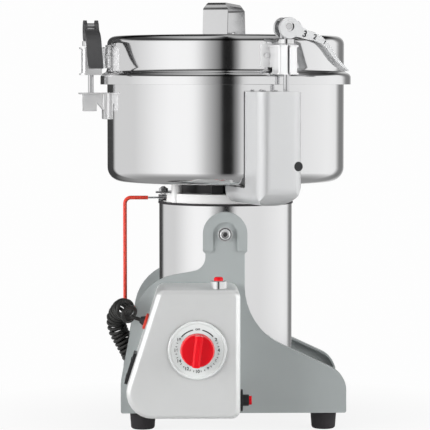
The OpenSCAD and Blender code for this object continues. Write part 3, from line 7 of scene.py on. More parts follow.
import bpy
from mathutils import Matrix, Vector
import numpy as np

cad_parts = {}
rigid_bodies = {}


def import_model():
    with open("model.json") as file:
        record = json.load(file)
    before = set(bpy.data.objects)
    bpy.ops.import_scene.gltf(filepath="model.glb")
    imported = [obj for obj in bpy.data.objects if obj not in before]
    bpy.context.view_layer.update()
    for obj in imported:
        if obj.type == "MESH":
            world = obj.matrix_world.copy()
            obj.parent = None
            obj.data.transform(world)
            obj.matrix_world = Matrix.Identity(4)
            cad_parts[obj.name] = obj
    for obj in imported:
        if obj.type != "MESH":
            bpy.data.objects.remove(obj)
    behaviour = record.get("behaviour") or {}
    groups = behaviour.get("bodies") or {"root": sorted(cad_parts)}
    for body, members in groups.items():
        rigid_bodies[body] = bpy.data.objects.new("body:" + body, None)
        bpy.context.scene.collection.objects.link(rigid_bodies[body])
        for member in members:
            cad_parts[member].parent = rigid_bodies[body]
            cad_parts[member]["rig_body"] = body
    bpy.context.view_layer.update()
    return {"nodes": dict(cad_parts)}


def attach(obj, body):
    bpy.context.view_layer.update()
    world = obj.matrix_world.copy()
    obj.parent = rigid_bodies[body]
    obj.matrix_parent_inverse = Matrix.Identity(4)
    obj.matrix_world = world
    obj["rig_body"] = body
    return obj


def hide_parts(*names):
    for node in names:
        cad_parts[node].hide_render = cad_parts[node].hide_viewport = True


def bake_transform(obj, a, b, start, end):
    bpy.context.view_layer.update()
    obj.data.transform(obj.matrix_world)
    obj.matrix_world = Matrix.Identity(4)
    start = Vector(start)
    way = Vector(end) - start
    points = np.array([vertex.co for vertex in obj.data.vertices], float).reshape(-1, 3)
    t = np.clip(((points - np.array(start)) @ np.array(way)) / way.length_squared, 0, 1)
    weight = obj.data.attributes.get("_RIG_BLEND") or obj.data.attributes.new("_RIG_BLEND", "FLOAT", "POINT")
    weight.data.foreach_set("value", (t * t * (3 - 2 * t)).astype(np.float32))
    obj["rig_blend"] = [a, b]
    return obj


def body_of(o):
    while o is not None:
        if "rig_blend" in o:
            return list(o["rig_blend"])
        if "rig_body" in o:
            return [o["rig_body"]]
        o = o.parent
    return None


bl_info = {
    "name": "Tilting grain mill",
    "version": (1, 0, 0),
    "blender": (4, 5, 0),
    "location": "View3D > Sidebar > Grain mill",
    "description": "Dresses the CAD frame of a tilting electric grain mill",
    "category": "Object",
}

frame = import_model()
NODES = frame["nodes"]
MM = 0.001


# ---------------------------------------------------------------- user values


def colour(label, note, value):
    """A colour that the panel shows"""
    return bpy.props.FloatVectorProperty(
        name=label, description=note, default=value,
        min=0.0, max=1.0, subtype="COLOR", size=3,
    )


def length(label, note, value):
    """A length that the panel shows"""
    return bpy.props.FloatProperty(
        name=label, description=note, default=value,
        min=0.0, unit="LENGTH", subtype="DISTANCE", precision=5,
    )


class MillColours(bpy.types.PropertyGroup):
    """Colours of the mill's finishes"""

    steel: colour("Steel", "Spun and polished stainless steel", (0.88, 0.88, 0.885))
    plates: colour("Side plates", "Satin grey side plates", (0.44, 0.472, 0.472))
    box: colour("Control box", "Silver paint of the control box", (0.91, 0.92, 0.915))
    cast: colour("Castings", "Light satin aluminium", (0.545, 0.55, 0.555))
    dial: colour("Dial", "Face of the timer dial", (0.6, 0.615, 0.61))
    red: colour("Red plastic", "Timer knob and buttons", (0.64, 0.005, 0.012))
    coating: colour("Red coating", "Coating of the cord hanger", (0.6, 0.05, 0.03))
    black: colour("Black plastic", "Switch bodies and covers", (0.014, 0.014, 0.015))
    rubber: colour("Rubber", "Feet, gasket and seals", (0.024, 0.022, 0.024))
    cord: colour("Cord", "Sheath of the curly cord", (0.02, 0.02, 0.019))
    zinc: colour("Zinc", "Bolts, washers and rods", (0.74, 0.74, 0.75))
    grey: colour("Lever grey", "Grey cover of the left lever", (0.085, 0.085, 0.087))
    pale: colour("Pale casting", "Neck ring and posts under the bowl", (0.7, 0.7, 0.695))
    nylon: colour("Nylon", "Pivot bushes and lid seal", (0.74, 0.73, 0.68))
    copper: colour("Copper", "Windings of the motor", (0.5, 0.2, 0.08))
    ink: colour("Ink", "Printing on the dial", (0.02, 0.02, 0.022))


class MillSizes(bpy.types.PropertyGroup):
    """Sizes of the fine forms"""

    fine_edge: length("Fine edge", "Broken edge of sheet metal", 0.25 * MM)
    mark_h: length("Mark height", "Height of the marks above their face", 0.12 * MM)
    tick_l: length("Tick length", "Length of a short tick on the dial", 1.7 * MM)
    tick_w: length("Tick width", "Width of a tick on the dial", 0.7 * MM)
    tick_r: length("Tick radius", "Distance of the ticks from the middle", 20.4 * MM)
    digit_h: length("Digit height", "Height of the dial's numbers", 3.1 * MM)
    cord_d: length("Cord", "Thickness of the curly cord", 3.6 * MM)
    curl_d: length("Curl", "Outside diameter of the cord's curls", 20.0 * MM)


def colours():
    return bpy.context.scene.mill_colours


def sizes():
    return bpy.context.scene.mill_sizes


# ------------------------------------------------------------- node groups

LEAST_RADIUS = 0.1 * MM  # keeps the rings' maths away from the axis
ROUND_SPREAD = 1.7  # how much the rings change on their way round
SKIN_CLOUD_SHARE = 0.45  # fineness of the skin's noise, of that of its cells
SKIN_CELL_SHARE = 0.5  # weight of the skin's cells beside its noise
SPOT_SHARE = 4.3  # how much finer the rubbed spots are than the clouds
LEAST_ROUGHNESS = 0.03
NOISE_MIDDLE = 0.5


def add(tree, kind, sockets=None, **settings):
    """A new node with its settings, and values for its sockets by name"""
    node = tree.nodes.new(kind)
    for key, value in settings.items():
        setattr(node, key, value)
    for name, value in (sockets or {}).items():
        node.inputs[name].default_value = value
    return node


def join(tree, source, target):
    tree.links.new(source, target)


def maths(tree, what, a, b=None):
    """The result of one operation on numbers or sockets, as a socket"""
    node = add(tree, "ShaderNodeMath", operation=what)
    for socket, value in zip(node.inputs, (a, b)):
        if isinstance(value, (int, float)):
            socket.default_value = value
        elif value is not None:
            join(tree, value, socket)
    return node.outputs[0]


def plus(tree, a, b):
    return maths(tree, "ADD", a, b)


def times(tree, a, b):
    return maths(tree, "MULTIPLY", a, b)


def mix_shaders(tree, factor, first, second):
    """Two shaders mixed; a factor of 0 gives the first"""
    node = add(tree, "ShaderNodeMixShader")
    for socket, source in zip(node.inputs, (factor, first, second)):
        join(tree, source, socket)
    return node.outputs[0]


def grey(tone):
    return (tone, tone, tone, 1.0)


def tone_ramp(tree, stops):
    """A ramp of greys from places and tones, in rising order"""
    ramp = add(tree, "ShaderNodeValToRGB")
    elements = ramp.color_ramp.elements
    while len(elements) > 1:
        elements.remove(elements[-1])
    for i, (at, tone) in enumerate(stops):
        stop = elements.new(at) if i else elements[0]
        stop.position = at
        stop.color = grey(tone)
    return ramp


def new_group(name, inputs, outputs):
    """An empty node group with its sockets"""
    tree = bpy.data.node_groups.new(name, "ShaderNodeTree")
    for label, kind, value in inputs:
        socket = tree.interface.new_socket(name=label, in_out="INPUT", socket_type=kind)
        if value is not None:
            socket.default_value = value
    for label, kind in outputs:
        tree.interface.new_socket(name=label, in_out="OUTPUT", socket_type=kind)
    return tree, tree.nodes.new("NodeGroupInput"), tree.nodes.new("NodeGroupOutput")


def turned_grain():
    """Fine rings round the upright axis, left by spinning and polishing"""
    tree, given, out = new_group(
        "turned",
        [("Vector", "NodeSocketVector", None), ("Fineness", "NodeSocketFloat", 900.0)],
        [("Height", "NodeSocketFloat")],
    )
    fineness = given.outputs["Fineness"]
    parts = add(tree, "ShaderNodeSeparateXYZ")
    join(tree, given.outputs["Vector"], parts.inputs[0])
    x, y, z = parts.outputs
    radius = maths(tree, "SQRT", plus(tree, times(tree, x, x), times(tree, y, y)))
    safe = maths(tree, "MAXIMUM", radius, LEAST_RADIUS)
    place = add(tree, "ShaderNodeCombineXYZ")
    join(tree, times(tree, radius, fineness), place.inputs[0])
    join(tree, times(tree, z, fineness), place.inputs[1])
    join(tree, times(tree, maths(tree, "DIVIDE", x, safe), ROUND_SPREAD), place.inputs[2])
    noise = add(
        tree, "ShaderNodeTexNoise", {"Scale": 1.0, "Detail": 3.0, "Roughness": 0.6},
        noise_dimensions="4D",
    )
    join(tree, place.outputs[0], noise.inputs["Vector"])
    join(tree, times(tree, maths(tree, "DIVIDE", y, safe), ROUND_SPREAD), noise.inputs["W"])
    join(tree, noise.outputs["Fac"], out.inputs[0])
    return tree


def drawn_grain():
    """Long straight scratches; Stretch says how dense they are along each axis"""
    tree, given, out = new_group(
        "drawn",
        [
            ("Vector", "NodeSocketVector", None),
            ("Stretch", "NodeSocketVector", (1500.0, 1500.0, 40.0)),
        ],
        [("Height", "NodeSocketFloat")],
    )
    scaled = add(tree, "ShaderNodeVectorMath", operation="MULTIPLY")
    join(tree, given.outputs["Vector"], scaled.inputs[0])
    join(tree, given.outputs["Stretch"], scaled.inputs[1])
    noise = add(tree, "ShaderNodeTexNoise", {"Scale": 1.0, "Detail": 4.0, "Roughness": 0.65})
    join(tree, scaled.outputs[0], noise.inputs["Vector"])
    join(tree, noise.outputs["Fac"], out.inputs[0])
    return tree


def moulded_skin():
    """Shallow pebbled skin of paint, castings and moulded plastic"""
    tree, given, out = new_group(
        "skin",
        [("Vector", "NodeSocketVector", None), ("Fineness", "NodeSocketFloat", 900.0)],
        [("Height", "NodeSocketFloat")],
    )
    place, fineness = given.outputs["Vector"], given.outputs["Fineness"]
    cells = add(tree, "ShaderNodeTexVoronoi", feature="SMOOTH_F1")
    join(tree, place, cells.inputs["Vector"])
    join(tree, fineness, cells.inputs["Scale"])
    noise = add(tree, "ShaderNodeTexNoise", {"Detail": 2.0})
    join(tree, place, noise.inputs["Vector"])
    join(tree, times(tree, fineness, SKIN_CLOUD_SHARE), noise.inputs["Scale"])
    pebbles = times(tree, cells.outputs["Distance"], SKIN_CELL_SHARE)
    join(tree, plus(tree, pebbles, noise.outputs["Fac"]), out.inputs[0])
    return tree


def uneven_finish():
    """Soft cloudy change of tone and gloss, with a few rubbed spots"""
    tree, given, out = new_group(
        "uneven",
        [
            ("Vector", "NodeSocketVector", None),
            ("Colour", "NodeSocketColor", (0.5, 0.5, 0.5, 1.0)),
            ("Tone change", "NodeSocketFloat", 0.05),
            ("Roughness", "NodeSocketFloat", 0.4),
            ("Gloss change", "NodeSocketFloat", 0.05),
            ("Size", "NodeSocketFloat", 30.0),
        ],
        [("Colour", "NodeSocketColor"), ("Roughness", "NodeSocketFloat")],
    )
    place, size = given.outputs["Vector"], given.outputs["Size"]
    change = given.outputs["Gloss change"]
    cloud = add(tree, "ShaderNodeTexNoise", {"Detail": 5.0, "Roughness": 0.6})
    join(tree, place, cloud.inputs["Vector"])
    join(tree, size, cloud.inputs["Scale"])
    spots = add(tree, "ShaderNodeTexNoise", {"Detail": 2.0})
    join(tree, place, spots.inputs["Vector"])
    join(tree, times(tree, size, SPOT_SHARE), spots.inputs["Scale"])
    swing = maths(tree, "SUBTRACT", cloud.outputs["Fac"], NOISE_MIDDLE)
    doubled = times(tree, swing, 2.0)
    factor = plus(tree, times(tree, doubled, given.outputs["Tone change"]), 1.0)
    tone = add(tree, "ShaderNodeVectorMath", operation="SCALE")
    join(tree, given.outputs["Colour"], tone.inputs[0])
    join(tree, factor, tone.inputs["Scale"])
    join(tree, tone.outputs[0], out.inputs[0])
    rubbed = times(tree, maths(tree, "SUBTRACT", spots.outputs["Fac"], NOISE_MIDDLE), change)
    shifted = plus(tree, given.outputs["Roughness"], times(tree, swing, change))
    rough = maths(tree, "MAXIMUM", plus(tree, shifted, rubbed), LEAST_ROUGHNESS)
    join(tree, rough, out.inputs[1])
    return tree


GROUPS = {
    "turned": turned_grain,
    "drawn": drawn_grain,
    "skin": moulded_skin,
    "uneven": uneven_finish,
}


def group(name):
    """The node group of that name, built once"""
    return bpy.data.node_groups.get(name) or GROUPS[name]()


# --------------------------------------------------------------- materials

# colour is a name in MillColours; fineness is a stretch along X, Y and Z where
# the texture is drawn; depth is the bump's; tone and gloss say how much they
# change in clouds of that size; own holds values for the shader's other sockets
Finish = namedtuple(
    "Finish", "colour metal rough texture fineness depth tone gloss cloud own", defaults=({},)
)
LOW_SHINE = {"Specular IOR Level": 0.3}
RUBBER_SHINE = {"Specular IOR Level": 0.35}
BUMP_HEIGHT = 0.1 * MM

FINISHES = {
    "Spun steel": Finish("steel", 1.0, 0.1, "turned", 900, 0.02, 0.015, 0.03, 18),
    "Bright sheet": Finish("steel", 0.65, 0.2, "drawn", (900, 900, 60), 0.03, 0.02, 0.05, 60),
    "Polished steel": Finish("steel", 1.0, 0.16, "drawn", (900, 900, 60), 0.03, 0.02, 0.05, 60),
    "Drawn steel tube": Finish("steel", 1.0, 0.15, "turned", 700, 0.02, 0.015, 0.03, 20),
    "Satin plate": Finish("plates", 0.4, 0.36, "drawn", (1200, 1200, 40), 0.06, 0.05, 0.08, 14),
    "Pan sheet": Finish("plates", 0.8, 0.4, "drawn", (60, 1200, 1200), 0.06, 0.08, 0.1, 25),
    "Silver paint": Finish("box", 0.6, 0.31, "skin", 900, 0.02, 0.012, 0.025, 60),
    "Satin casting": Finish("cast", 0.45, 0.32, "skin", 700, 0.03, 0.015, 0.03, 60),
    "Pale casting": Finish("pale", 0.0, 0.4, "skin", 1100, 0.08, 0.02, 0.06, 30),
    "Dial face": Finish("dial", 0.0, 0.45, "skin", 2500, 0.03, 0.015, 0.04, 60, LOW_SHINE),
    "Red plastic": Finish("red", 0.0, 0.24, "skin", 1800, 0.03, 0.04, 0.06, 60, LOW_SHINE),
    "Red coating": Finish("coating", 0.0, 0.34, "skin", 1500, 0.05, 0.05, 0.05, 60),
    "Black plastic": Finish("black", 0.0, 0.42, "skin", 1600, 0.08, 0.2, 0.1, 50),
    "Rubber": Finish("rubber", 0.0, 0.6, "skin", 1300, 0.12, 0.15, 0.1, 60, RUBBER_SHINE),
    "Cord sheath": Finish("cord", 0.0, 0.33, "skin", 1800, 0.06, 0.12, 0.05, 80),
    "Zinc steel": Finish("zinc", 1.0, 0.22, "drawn", (1500, 1500, 150), 0.05, 0.05, 0.06, 90),
    "Chrome": Finish("steel", 1.0, 0.07, "turned", 1200, 0.01, 0.01, 0.02, 80),
    "Grey cover": Finish("grey", 0.2, 0.42, "drawn", (900, 900, 120), 0.06, 0.12, 0.1, 60),
    "Nylon": Finish(
        "nylon", 0.0, 0.42, "skin", 1500, 0.05, 0.04, 0.08, 60, {"Subsurface Weight": 0.05}
    ),
    "Windings": Finish("copper", 0.6, 0.35, "turned", 1500, 0.5, 0.2, 0.1, 120),
    "Core sheets": Finish("plates", 0.8, 0.45, "drawn", (20, 20, 1400), 0.4, 0.15, 0.1, 60),
    "Printing ink": Finish("ink", 0.0, 0.5, "skin", 3000, 0.05, 0.2, 0.1, 200),
}


def finish(name):
    """The finish's material, built once"""
    known = bpy.data.materials.get(name)
    if known:
        return known
    look = FINISHES[name]
    material = bpy.data.materials.new(name)
    material.use_nodes = True
    tree = material.node_tree
    shader = tree.nodes["Principled BSDF"]
    base = (*getattr(colours(), look.colour), 1.0)
    material.diffuse_color = base
    for socket, value in {"Metallic": look.metal, **look.own}.items():
        shader.inputs[socket].default_value = value
    place = add(tree, "ShaderNodeTexCoord").outputs["Object"]
    uneven = add(
        tree, "ShaderNodeGroup",
        {
            "Colour": base,
            "Tone change": look.tone,
            "Roughness": look.rough,
            "Gloss change": look.gloss,
            "Size": look.cloud,
        },
        node_tree=group("uneven"),
    )
    join(tree, place, uneven.inputs["Vector"])
    join(tree, uneven.outputs["Colour"], shader.inputs["Base Color"])
    join(tree, uneven.outputs["Roughness"], shader.inputs["Roughness"])
    grain = add(tree, "ShaderNodeGroup", node_tree=group(look.texture))
    join(tree, place, grain.inputs["Vector"])
    grain.inputs[1].default_value = look.fineness
    bump = add(tree, "ShaderNodeBump", {"Strength": look.depth, "Distance": BUMP_HEIGHT})
    join(tree, grain.outputs["Height"], bump.inputs["Height"])
    join(tree, bump.outputs["Normal"], shader.inputs["Normal"])
    return material


# ------------------------------------------------------------ shared moves

MERGE_GAP = 0.01 * MM  # points of the CAD mesh that lie closer are one
FLAT_ANGLE = 0.4  # degrees; faces that turn less become one
BEVEL_ANGLE = 32.0  # degrees; edges that turn more are broken
LETTER_SHARE = 1.4  # a font's size, of the height of its digits
STROKE_SHARE = 0.04  # how much the strokes are thickened, of that height


def pick(obj):
    """Only obj is selected and active"""
    bpy.ops.object.select_all(action="DESELECT")
    obj.select_set(True)
    bpy.context.view_layer.objects.active = obj


def apply_modifier(obj, kind, **values):
    pick(obj)
    modifier = obj.modifiers.new(kind.title(), kind)
    for key, value in values.items():
        setattr(modifier, key, value)
    bpy.ops.object.modifier_apply(modifier=modifier.name)


def shade(obj, angle):
    """Smooth faces with true flats: normals are weighted by area"""
    pick(obj)
    bpy.ops.object.shade_smooth_by_angle(angle=math.radians(angle))
    apply_modifier(obj, "WEIGHTED_NORMAL", keep_sharp=True, weight=80)


def dress(node, look, edge=0.0, steps=2, angle=38.0):
    """A merged copy of the CAD node with its edges broken, in the node's place"""
    source = NODES[node]
    obj = bpy.data.objects.new(node + "_form", source.data.copy())
    bpy.context.scene.collection.objects.link(obj)
    obj.data.materials.clear()
    obj.data.materials.append(finish(look))
    pick(obj)
    bpy.ops.object.mode_set(mode="EDIT")
    bpy.ops.mesh.select_all(action="SELECT")
    bpy.ops.mesh.remove_doubles(threshold=MERGE_GAP)
    bpy.ops.mesh.dissolve_limited(angle_limit=math.radians(FLAT_ANGLE))
    bpy.ops.object.mode_set(mode="OBJECT")
    if edge:
        apply_modifier(
            obj, "BEVEL", width=edge, segments=steps, limit_method="ANGLE",
            angle_limit=math.radians(BEVEL_ANGLE), use_clamp_overlap=True,
        )
    shade(obj, angle)
    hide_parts(node)
    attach(obj, body_of(source)[0])
    return obj


def repaint(obj, look, wanted):
    """Faces whose middle passes a test take a second finish"""
    obj.data.materials.append(finish(look))
    last = len(obj.data.materials) - 1
    for face in obj.data.polygons:
        if wanted(face.center):
            face.material_index = last


def text_mesh(body, height, place, tilt=0.0, facing=0.0):
    """Upright raised lettering, as a mesh; facing 0 looks to the front"""
    bpy.ops.object.select_all(action="DESELECT")
    turn = (math.radians(90.0), math.radians(tilt), math.radians(facing))
    bpy.ops.object.text_add(location=place, rotation=turn)
    text = bpy.context.object.data
    text.body = body
    text.size = height * LETTER_SHARE
    text.extrude = sizes().mark_h
    text.offset = height * STROKE_SHARE
    text.align_x = "CENTER"
    text.align_y = "CENTER"
    bpy.ops.object.convert(target="MESH")
    return bpy.context.object


def new_piece(objects, name, look, beside):
    """New objects become one piece that rides with the node beside it"""
    bpy.ops.object.select_all(action="DESELECT")
    for obj in objects:
        obj.select_set(True)
    bpy.context.view_layer.objects.active = objects[0]
    bpy.ops.object.transform_apply(location=True, rotation=True, scale=True)
    bpy.ops.object.join()
    obj = bpy.context.view_layer.objects.active
    obj.name = name
    obj.data.name = name
    obj.data.materials.clear()
    obj.data.materials.append(finish(look))
    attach(obj, body_of(NODES[beside])[0])
    return obj


# ------------------------------------------------------------------ camera

# Degrees for pitch and yaw, mm for lens and sensor
CAMERA_PLACE = (-0.0617, -2.2, 0.3433)
CAMERA_PITCH, CAMERA_YAW = 86.534, -1.328
CAMERA_LENS, CAMERA_SENSOR = 181.1, 36.0


class MILL_OT_camera(bpy.types.Operator):
    """Camera at the photograph's place: level with the bowl, a little to the left"""

    bl_idname = "mill.camera"
    bl_label = "Camera"

    def execute(self, context):
        bpy.ops.object.camera_add(
            location=CAMERA_PLACE,
            rotation=(math.radians(CAMERA_PITCH), 0.0, math.radians(CAMERA_YAW)),
        )
        camera = context.object
        camera.name = "camera"
        camera.data.lens = CAMERA_LENS
        camera.data.sensor_width = CAMERA_SENSOR
        context.scene.camera = camera
        return {"FINISHED"}


# -------------------------------------------------------------- curly cord

# Places and lengths of this section are in mm, as in the CAD source
BOX_TOP, BOX_LEFT_TOP, BOX_LEFT_LOW, BOX_BOTTOM = 147.2, -68.4, -108.1, 23.0
BOX_MID_Y = -109.0
SLANT = math.atan2(BOX_LEFT_TOP - BOX_LEFT_LOW, BOX_TOP - BOX_BOTTOM)
GLAND_Z = 113.0
CORD_EXIT = 4.0  # the cord leaves its gland this far out of the box
CORD_LEAD = 10.0  # it runs straight over this length at both ends
# The cord ends here in the motor's side port: compass place in degrees, radius, height
PORT_AZ, PORT_R, PORT_Z = 192.0, 67.9, 64.0
CORD_ROUTE = [
    (-97, -104, 119), (-101, -92, 124), (-104, -72, 122), (-107, -54, 117), (-110.5, -42, 109),
    (-109, -36, 97), (-103.5, -34, 86), (-97.5, -32, 75), (-92, -27, 65),
]
# Curls in each stretch from the box to the motor: loose over the hanger, close below it
CURLS = [0.6, 1.05, 1.05, 1.5, 1.5, 1.95, 2.55, 3, 3, 3, 1.8, 0.6]
RINGS = 48  # points of the line in each stretch
# In metres: in front of the first Y the cord stays with the box, behind the
# second one it rides on the motor
CORD_HELD_Y, CORD_CARRIED_Y = -0.107, -0.042


def gland():
    """Seat of the cord's gland on the box's slanted side, and the way out of it"""
    x = BOX_LEFT_TOP - (BOX_TOP - GLAND_Z) * math.tan(SLANT)
    return Vector((x, BOX_MID_Y, GLAND_Z)), Vector((-math.cos(SLANT), 0.0, math.sin(SLANT)))


def round_axis(azimuth):
    """The level direction at this compass place, in degrees from +X"""
    return Vector((math.cos(math.radians(azimuth)), math.sin(math.radians(azimuth)), 0.0))


def spline_point(a, b, c, d, t):
    """Catmull-Rom spline between b and c"""
    square = (2 * a - 5 * b + 4 * c - d) * t ** 2
    return 0.5 * (2 * b + (c - a) * t + square + (3 * b - a - 3 * c + d) * t ** 3)


def cord_line():
    """The CAD route in metres: a spline with curls wound round it"""
    seat, out = gland()
    start = seat + CORD_EXIT * out
    port = round_axis(PORT_AZ)
    end = PORT_R * port + Vector((0.0, 0.0, PORT_Z))
    points = [start - CORD_LEAD * out, start, start + CORD_LEAD * out]
    points += [Vector(p) for p in CORD_ROUTE]
    points += [end + CORD_LEAD * port, end, end - CORD_LEAD * port]
    middle = [
        spline_point(*points[i - 1 : i + 3], j / RINGS)
        for i in range(1, len(points) - 2)
        for j in range(RINGS)
    ]
    last = len(middle) - 1
    curl_r = (sizes().curl_d - sizes().cord_d) / 2 / MM
    side = Vector((0.0, 1.0, 0.0))
    line = []
    for i, p in enumerate(middle):
        way = (middle[min(i + 1, last)] - middle[max(i - 1, 0)]).normalized()
        if i:
            side = (side - side.dot(way) * way).normalized()
        # the curls swell over the second stretch and shrink over the last but one
        s = max(0.0, min(i / RINGS - 1, (last - i) / RINGS - 1, 1.0))
        swell = s * s * (3 - 2 * s)
        stretch = i // RINGS
        curls = sum(CURLS[:stretch]) + CURLS[stretch] * (i / RINGS - stretch)
        turn = 2 * math.pi * curls
        offset = math.cos(turn) * side + math.sin(turn) * way.cross(side)
        line.append((p + curl_r * swell * offset) * MM)
    line.append(end * MM)
    return line


class MILL_OT_curly_cord(bpy.types.Operator):
    """Curly cord from the control box's gland to the motor"""

    bl_idname = "mill.curly_cord"
    bl_label = "Curly cord"

    def execute(self, context):
        line = cord_line()
        curve = bpy.data.curves.new("curly_cord_run", "CURVE")
        curve.dimensions = "3D"
        curve.bevel_depth = sizes().cord_d / 2
        curve.bevel_resolution = 2
        curve.use_fill_caps = True
        spline = curve.splines.new("POLY")
        spline.points.add(len(line) - 1)
        for point, place in zip(spline.points, line):
            point.co = (*place, 1.0)
        obj = bpy.data.objects.new("curly_cord_run", curve)
        context.scene.collection.objects.link(obj)
        pick(obj)
        bpy.ops.object.convert(target="MESH")
        obj = context.object
        obj.data.materials.clear()
        obj.data.materials.append(finish("Cord sheath"))
        bpy.ops.object.shade_smooth_by_angle(angle=math.radians(50.0))
        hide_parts("curly_cord")
        # it opens between the gland and the plate's edge, in front of the motor
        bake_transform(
            obj, "base", "swing",
            start=(-0.1, CORD_HELD_Y, 0.12), end=(-0.1, CORD_CARRIED_Y, 0.12),
        )
        return {"FINISHED"}


# ------------------------------------------------------------- bowl and lid


class MILL_OT_bowl(bpy.types.Operator):
    """Spun steel bowl with its turned-out rim, the shaft seal and the bolt's bracket"""

    bl_idname = "mill.bowl"
    bl_label = "Bowl"

    def execute(self, context):
        dress("bowl", "Spun steel", edge=0.3 * MM, angle=30.0)
        dress("shaft_seal", "Rubber", edge=0.4 * MM)
        dress("bowl_bracket", "Bright sheet", edge=sizes().fine_edge)
        return {"FINISHED"}


class MILL_OT_lid(bpy.types.Operator):
    """Spun lid with its flared skirt, seal, strap handle and rivets"""

    bl_idname = "mill.lid"
    bl_label = "Lid and handle"

    def execute(self, context):
        dress("lid", "Spun steel", edge=0.3 * MM, angle=30.0)
        dress("lid_seal", "Nylon", edge=0.2 * MM)
        dress("lid_handle", "Polished steel", edge=0.9 * MM, steps=3)
        dress("lid_rivets", "Polished steel", edge=0.8 * MM, steps=3)
        return {"FINISHED"}


# The right latch: compass place in degrees, then in metres its distance from the axis,
# how far the lever's side stands out from it, and the radius of the lever's ring
RIGHT_AZ, LATCH_R, CHEEK_OUT, RING_R = -66.5, 0.137, 0.0074, 0.0103
LEVER_PIN = Vector((0.054629, -0.125637, 0.3983))
LEVER_AXIS = Vector((0.398749, -0.91706, 0.0))
RECESS_R = 5.0 * MM
# digit, height, distance from the ring, drop below its middle, tilt in degrees
LEVER_DIGITS = [
    ("3", 6.2 * MM, 16.0 * MM, 6.0 * MM, 22.0),
    ("2", 5.0 * MM, 27.0 * MM, 8.6 * MM, 22.0),
    ("1", 3.8 * MM, 37.6 * MM, 13.6 * MM, 36.0),
]


def in_recess(point):
    """Is this point of the right lever in the recess round its pin?"""
    return (point - LEVER_PIN).cross(LEVER_AXIS).length < RECESS_R


def lever_digits(ring_z):
    """The right lever's marks, on its outer side; ring_z is the middle of its ring"""
    out = round_axis(RIGHT_AZ)
    along = Vector((-out.y, out.x, 0.0))
    marks = []
    for digit, height, reach, drop, tilt in LEVER_DIGITS:
        up = Vector((0.0, 0.0, ring_z - drop))
        place = (LATCH_R + CHEEK_OUT) * out + reach * along + up
        marks.append(text_mesh(digit, height, place, tilt, RIGHT_AZ + 90.0))
    return marks


class MILL_OT_latches(bpy.types.Operator):
    """Lid brackets, hinge post, swing bolt, collars, pins and the two levers"""

    bl_idname = "mill.latches"
    bl_label = "Latches"

    def execute(self, context):
        for node in ("left_lid_bracket", "right_lid_bracket"):
            dress(node, "Bright sheet", edge=sizes().fine_edge)
        for node in ("post_rod", "clamp_bolt", "left_lever_pin", "right_lever_pin"):
            dress(node, "Zinc steel", edge=0.3 * MM)
        for node in ("left_collar", "right_collar"):
            dress(node, "Chrome", edge=0.4 * MM)
        lever = dress("right_lever", "Satin casting", edge=0.7 * MM, steps=3)
        repaint(lever, "Chrome", in_recess)
        dress("left_lever", "Grey cover", edge=0.7 * MM, steps=3)
        ring_z = max(v.co.z for v in lever.data.vertices) - RING_R
        new_piece(lever_digits(ring_z), "lever_marks", "Printing ink", "right_lever")
        return {"FINISHED"}


class MILL_OT_arm(bpy.types.Operator):
    """Cast arm that carries the hinge post, with its plug, screws and switch"""

    bl_idname = "mill.arm"
    bl_label = "Arm"

    def execute(self, context):
        dress("arm", "Satin casting", edge=0.8 * MM, steps=3)
        dress("arm_plug", "Black plastic", edge=0.4 * MM)
        dress("arm_screws", "Zinc steel", edge=0.4 * MM)
        dress("lid_switch", "Black plastic", edge=0.7 * MM)
        return {"FINISHED"}


# --------------------------------------------------------------- the motor

# Top of the neck ring's plate and radius of the hub on it, in metres
NECK_TOP, HUB_R = 0.2338, 0.047
FACE_MARGIN = 0.1 * MM


def on_hub(point):
    """Is this point of the neck ring on its raised hub?"""
    return point.z > NECK_TOP + FACE_MARGIN and point.xy.length < HUB_R


class MILL_OT_motor(bpy.types.Operator):
    """Motor housing with its bottom cover, gasket and cord gland, and the neck under the bowl"""

    bl_idname = "mill.motor"
    bl_label = "Motor"

    def execute(self, context):
        dress("motor_housing", "Drawn steel tube", edge=0.4 * MM)
        dress("motor_bottom_cover", "Black plastic", edge=0.5 * MM)
        dress("motor_gasket", "Rubber", edge=0.4 * MM)
        ring = dress("neck_ring", "Pale casting", edge=0.6 * MM)
        repaint(ring, "Black plastic", on_hub)
        dress("neck_posts", "Pale casting", edge=0.4 * MM)
        dress("motor_cord_gland", "Black plastic", edge=0.4 * MM)
        return {"FINISHED"}


class MILL_OT_motor_insides(bpy.types.Operator):
    """Stator, rotor, shaft, fan, bearings and brushes"""

    bl_idname = "mill.motor_insides"
    bl_label = "Motor insides"

    def execute(self, context):
        dress("stator", "Core sheets")
        dress("rotor_core", "Windings")
        dress("shaft", "Zinc steel", edge=0.3 * MM)
        dress("fan", "Black plastic", edge=0.3 * MM)
        dress("bearings", "Chrome", edge=0.4 * MM)
        dress("brush_holders", "Windings", edge=0.3 * MM)
        return {"FINISHED"}


class MILL_OT_blades(bpy.types.Operator):
    """The two bar blades and their dome nut"""

    bl_idname = "mill.blades"
    bl_label = "Blades"

    def execute(self, context):
        for node in ("lower_blade", "upper_blade"):
            dress(node, "Polished steel", edge=0.4 * MM)
        dress("blade_nut", "Polished steel", edge=0.7 * MM, steps=3)
        return {"FINISHED"}


# ----------------------------------------------------------------- the base

# The pivots' axis, in metres
PIVOT_X, PIVOT_Z = -0.0024, 0.1953
SOCKET_R = 2.4 * MM
# a dark ring of painted shade round each pivot bolt's head: its radius and thickness
PAINTED_SHADE_RING_R, PAINTED_SHADE_RING_T = 5.8 * MM, 0.4 * MM


def in_shaded_socket(point):
    """Is this point of a pivot bolt in its socket, which is painted dark as shade?"""
    return math.hypot(point.x - PIVOT_X, point.z - PIVOT_Z) < SOCKET_R


def painted_shade_ring(face_y):
    """A dark ring of painted shade round a pivot bolt, on its washer's face"""
    bpy.ops.mesh.primitive_torus_add(
        major_radius=PAINTED_SHADE_RING_R, minor_radius=PAINTED_SHADE_RING_T, major_segments=48, minor_segments=8,
        location=(PIVOT_X, face_y, PIVOT_Z), rotation=(math.radians(90.0), 0.0, 0.0),
    )
    return bpy.context.object


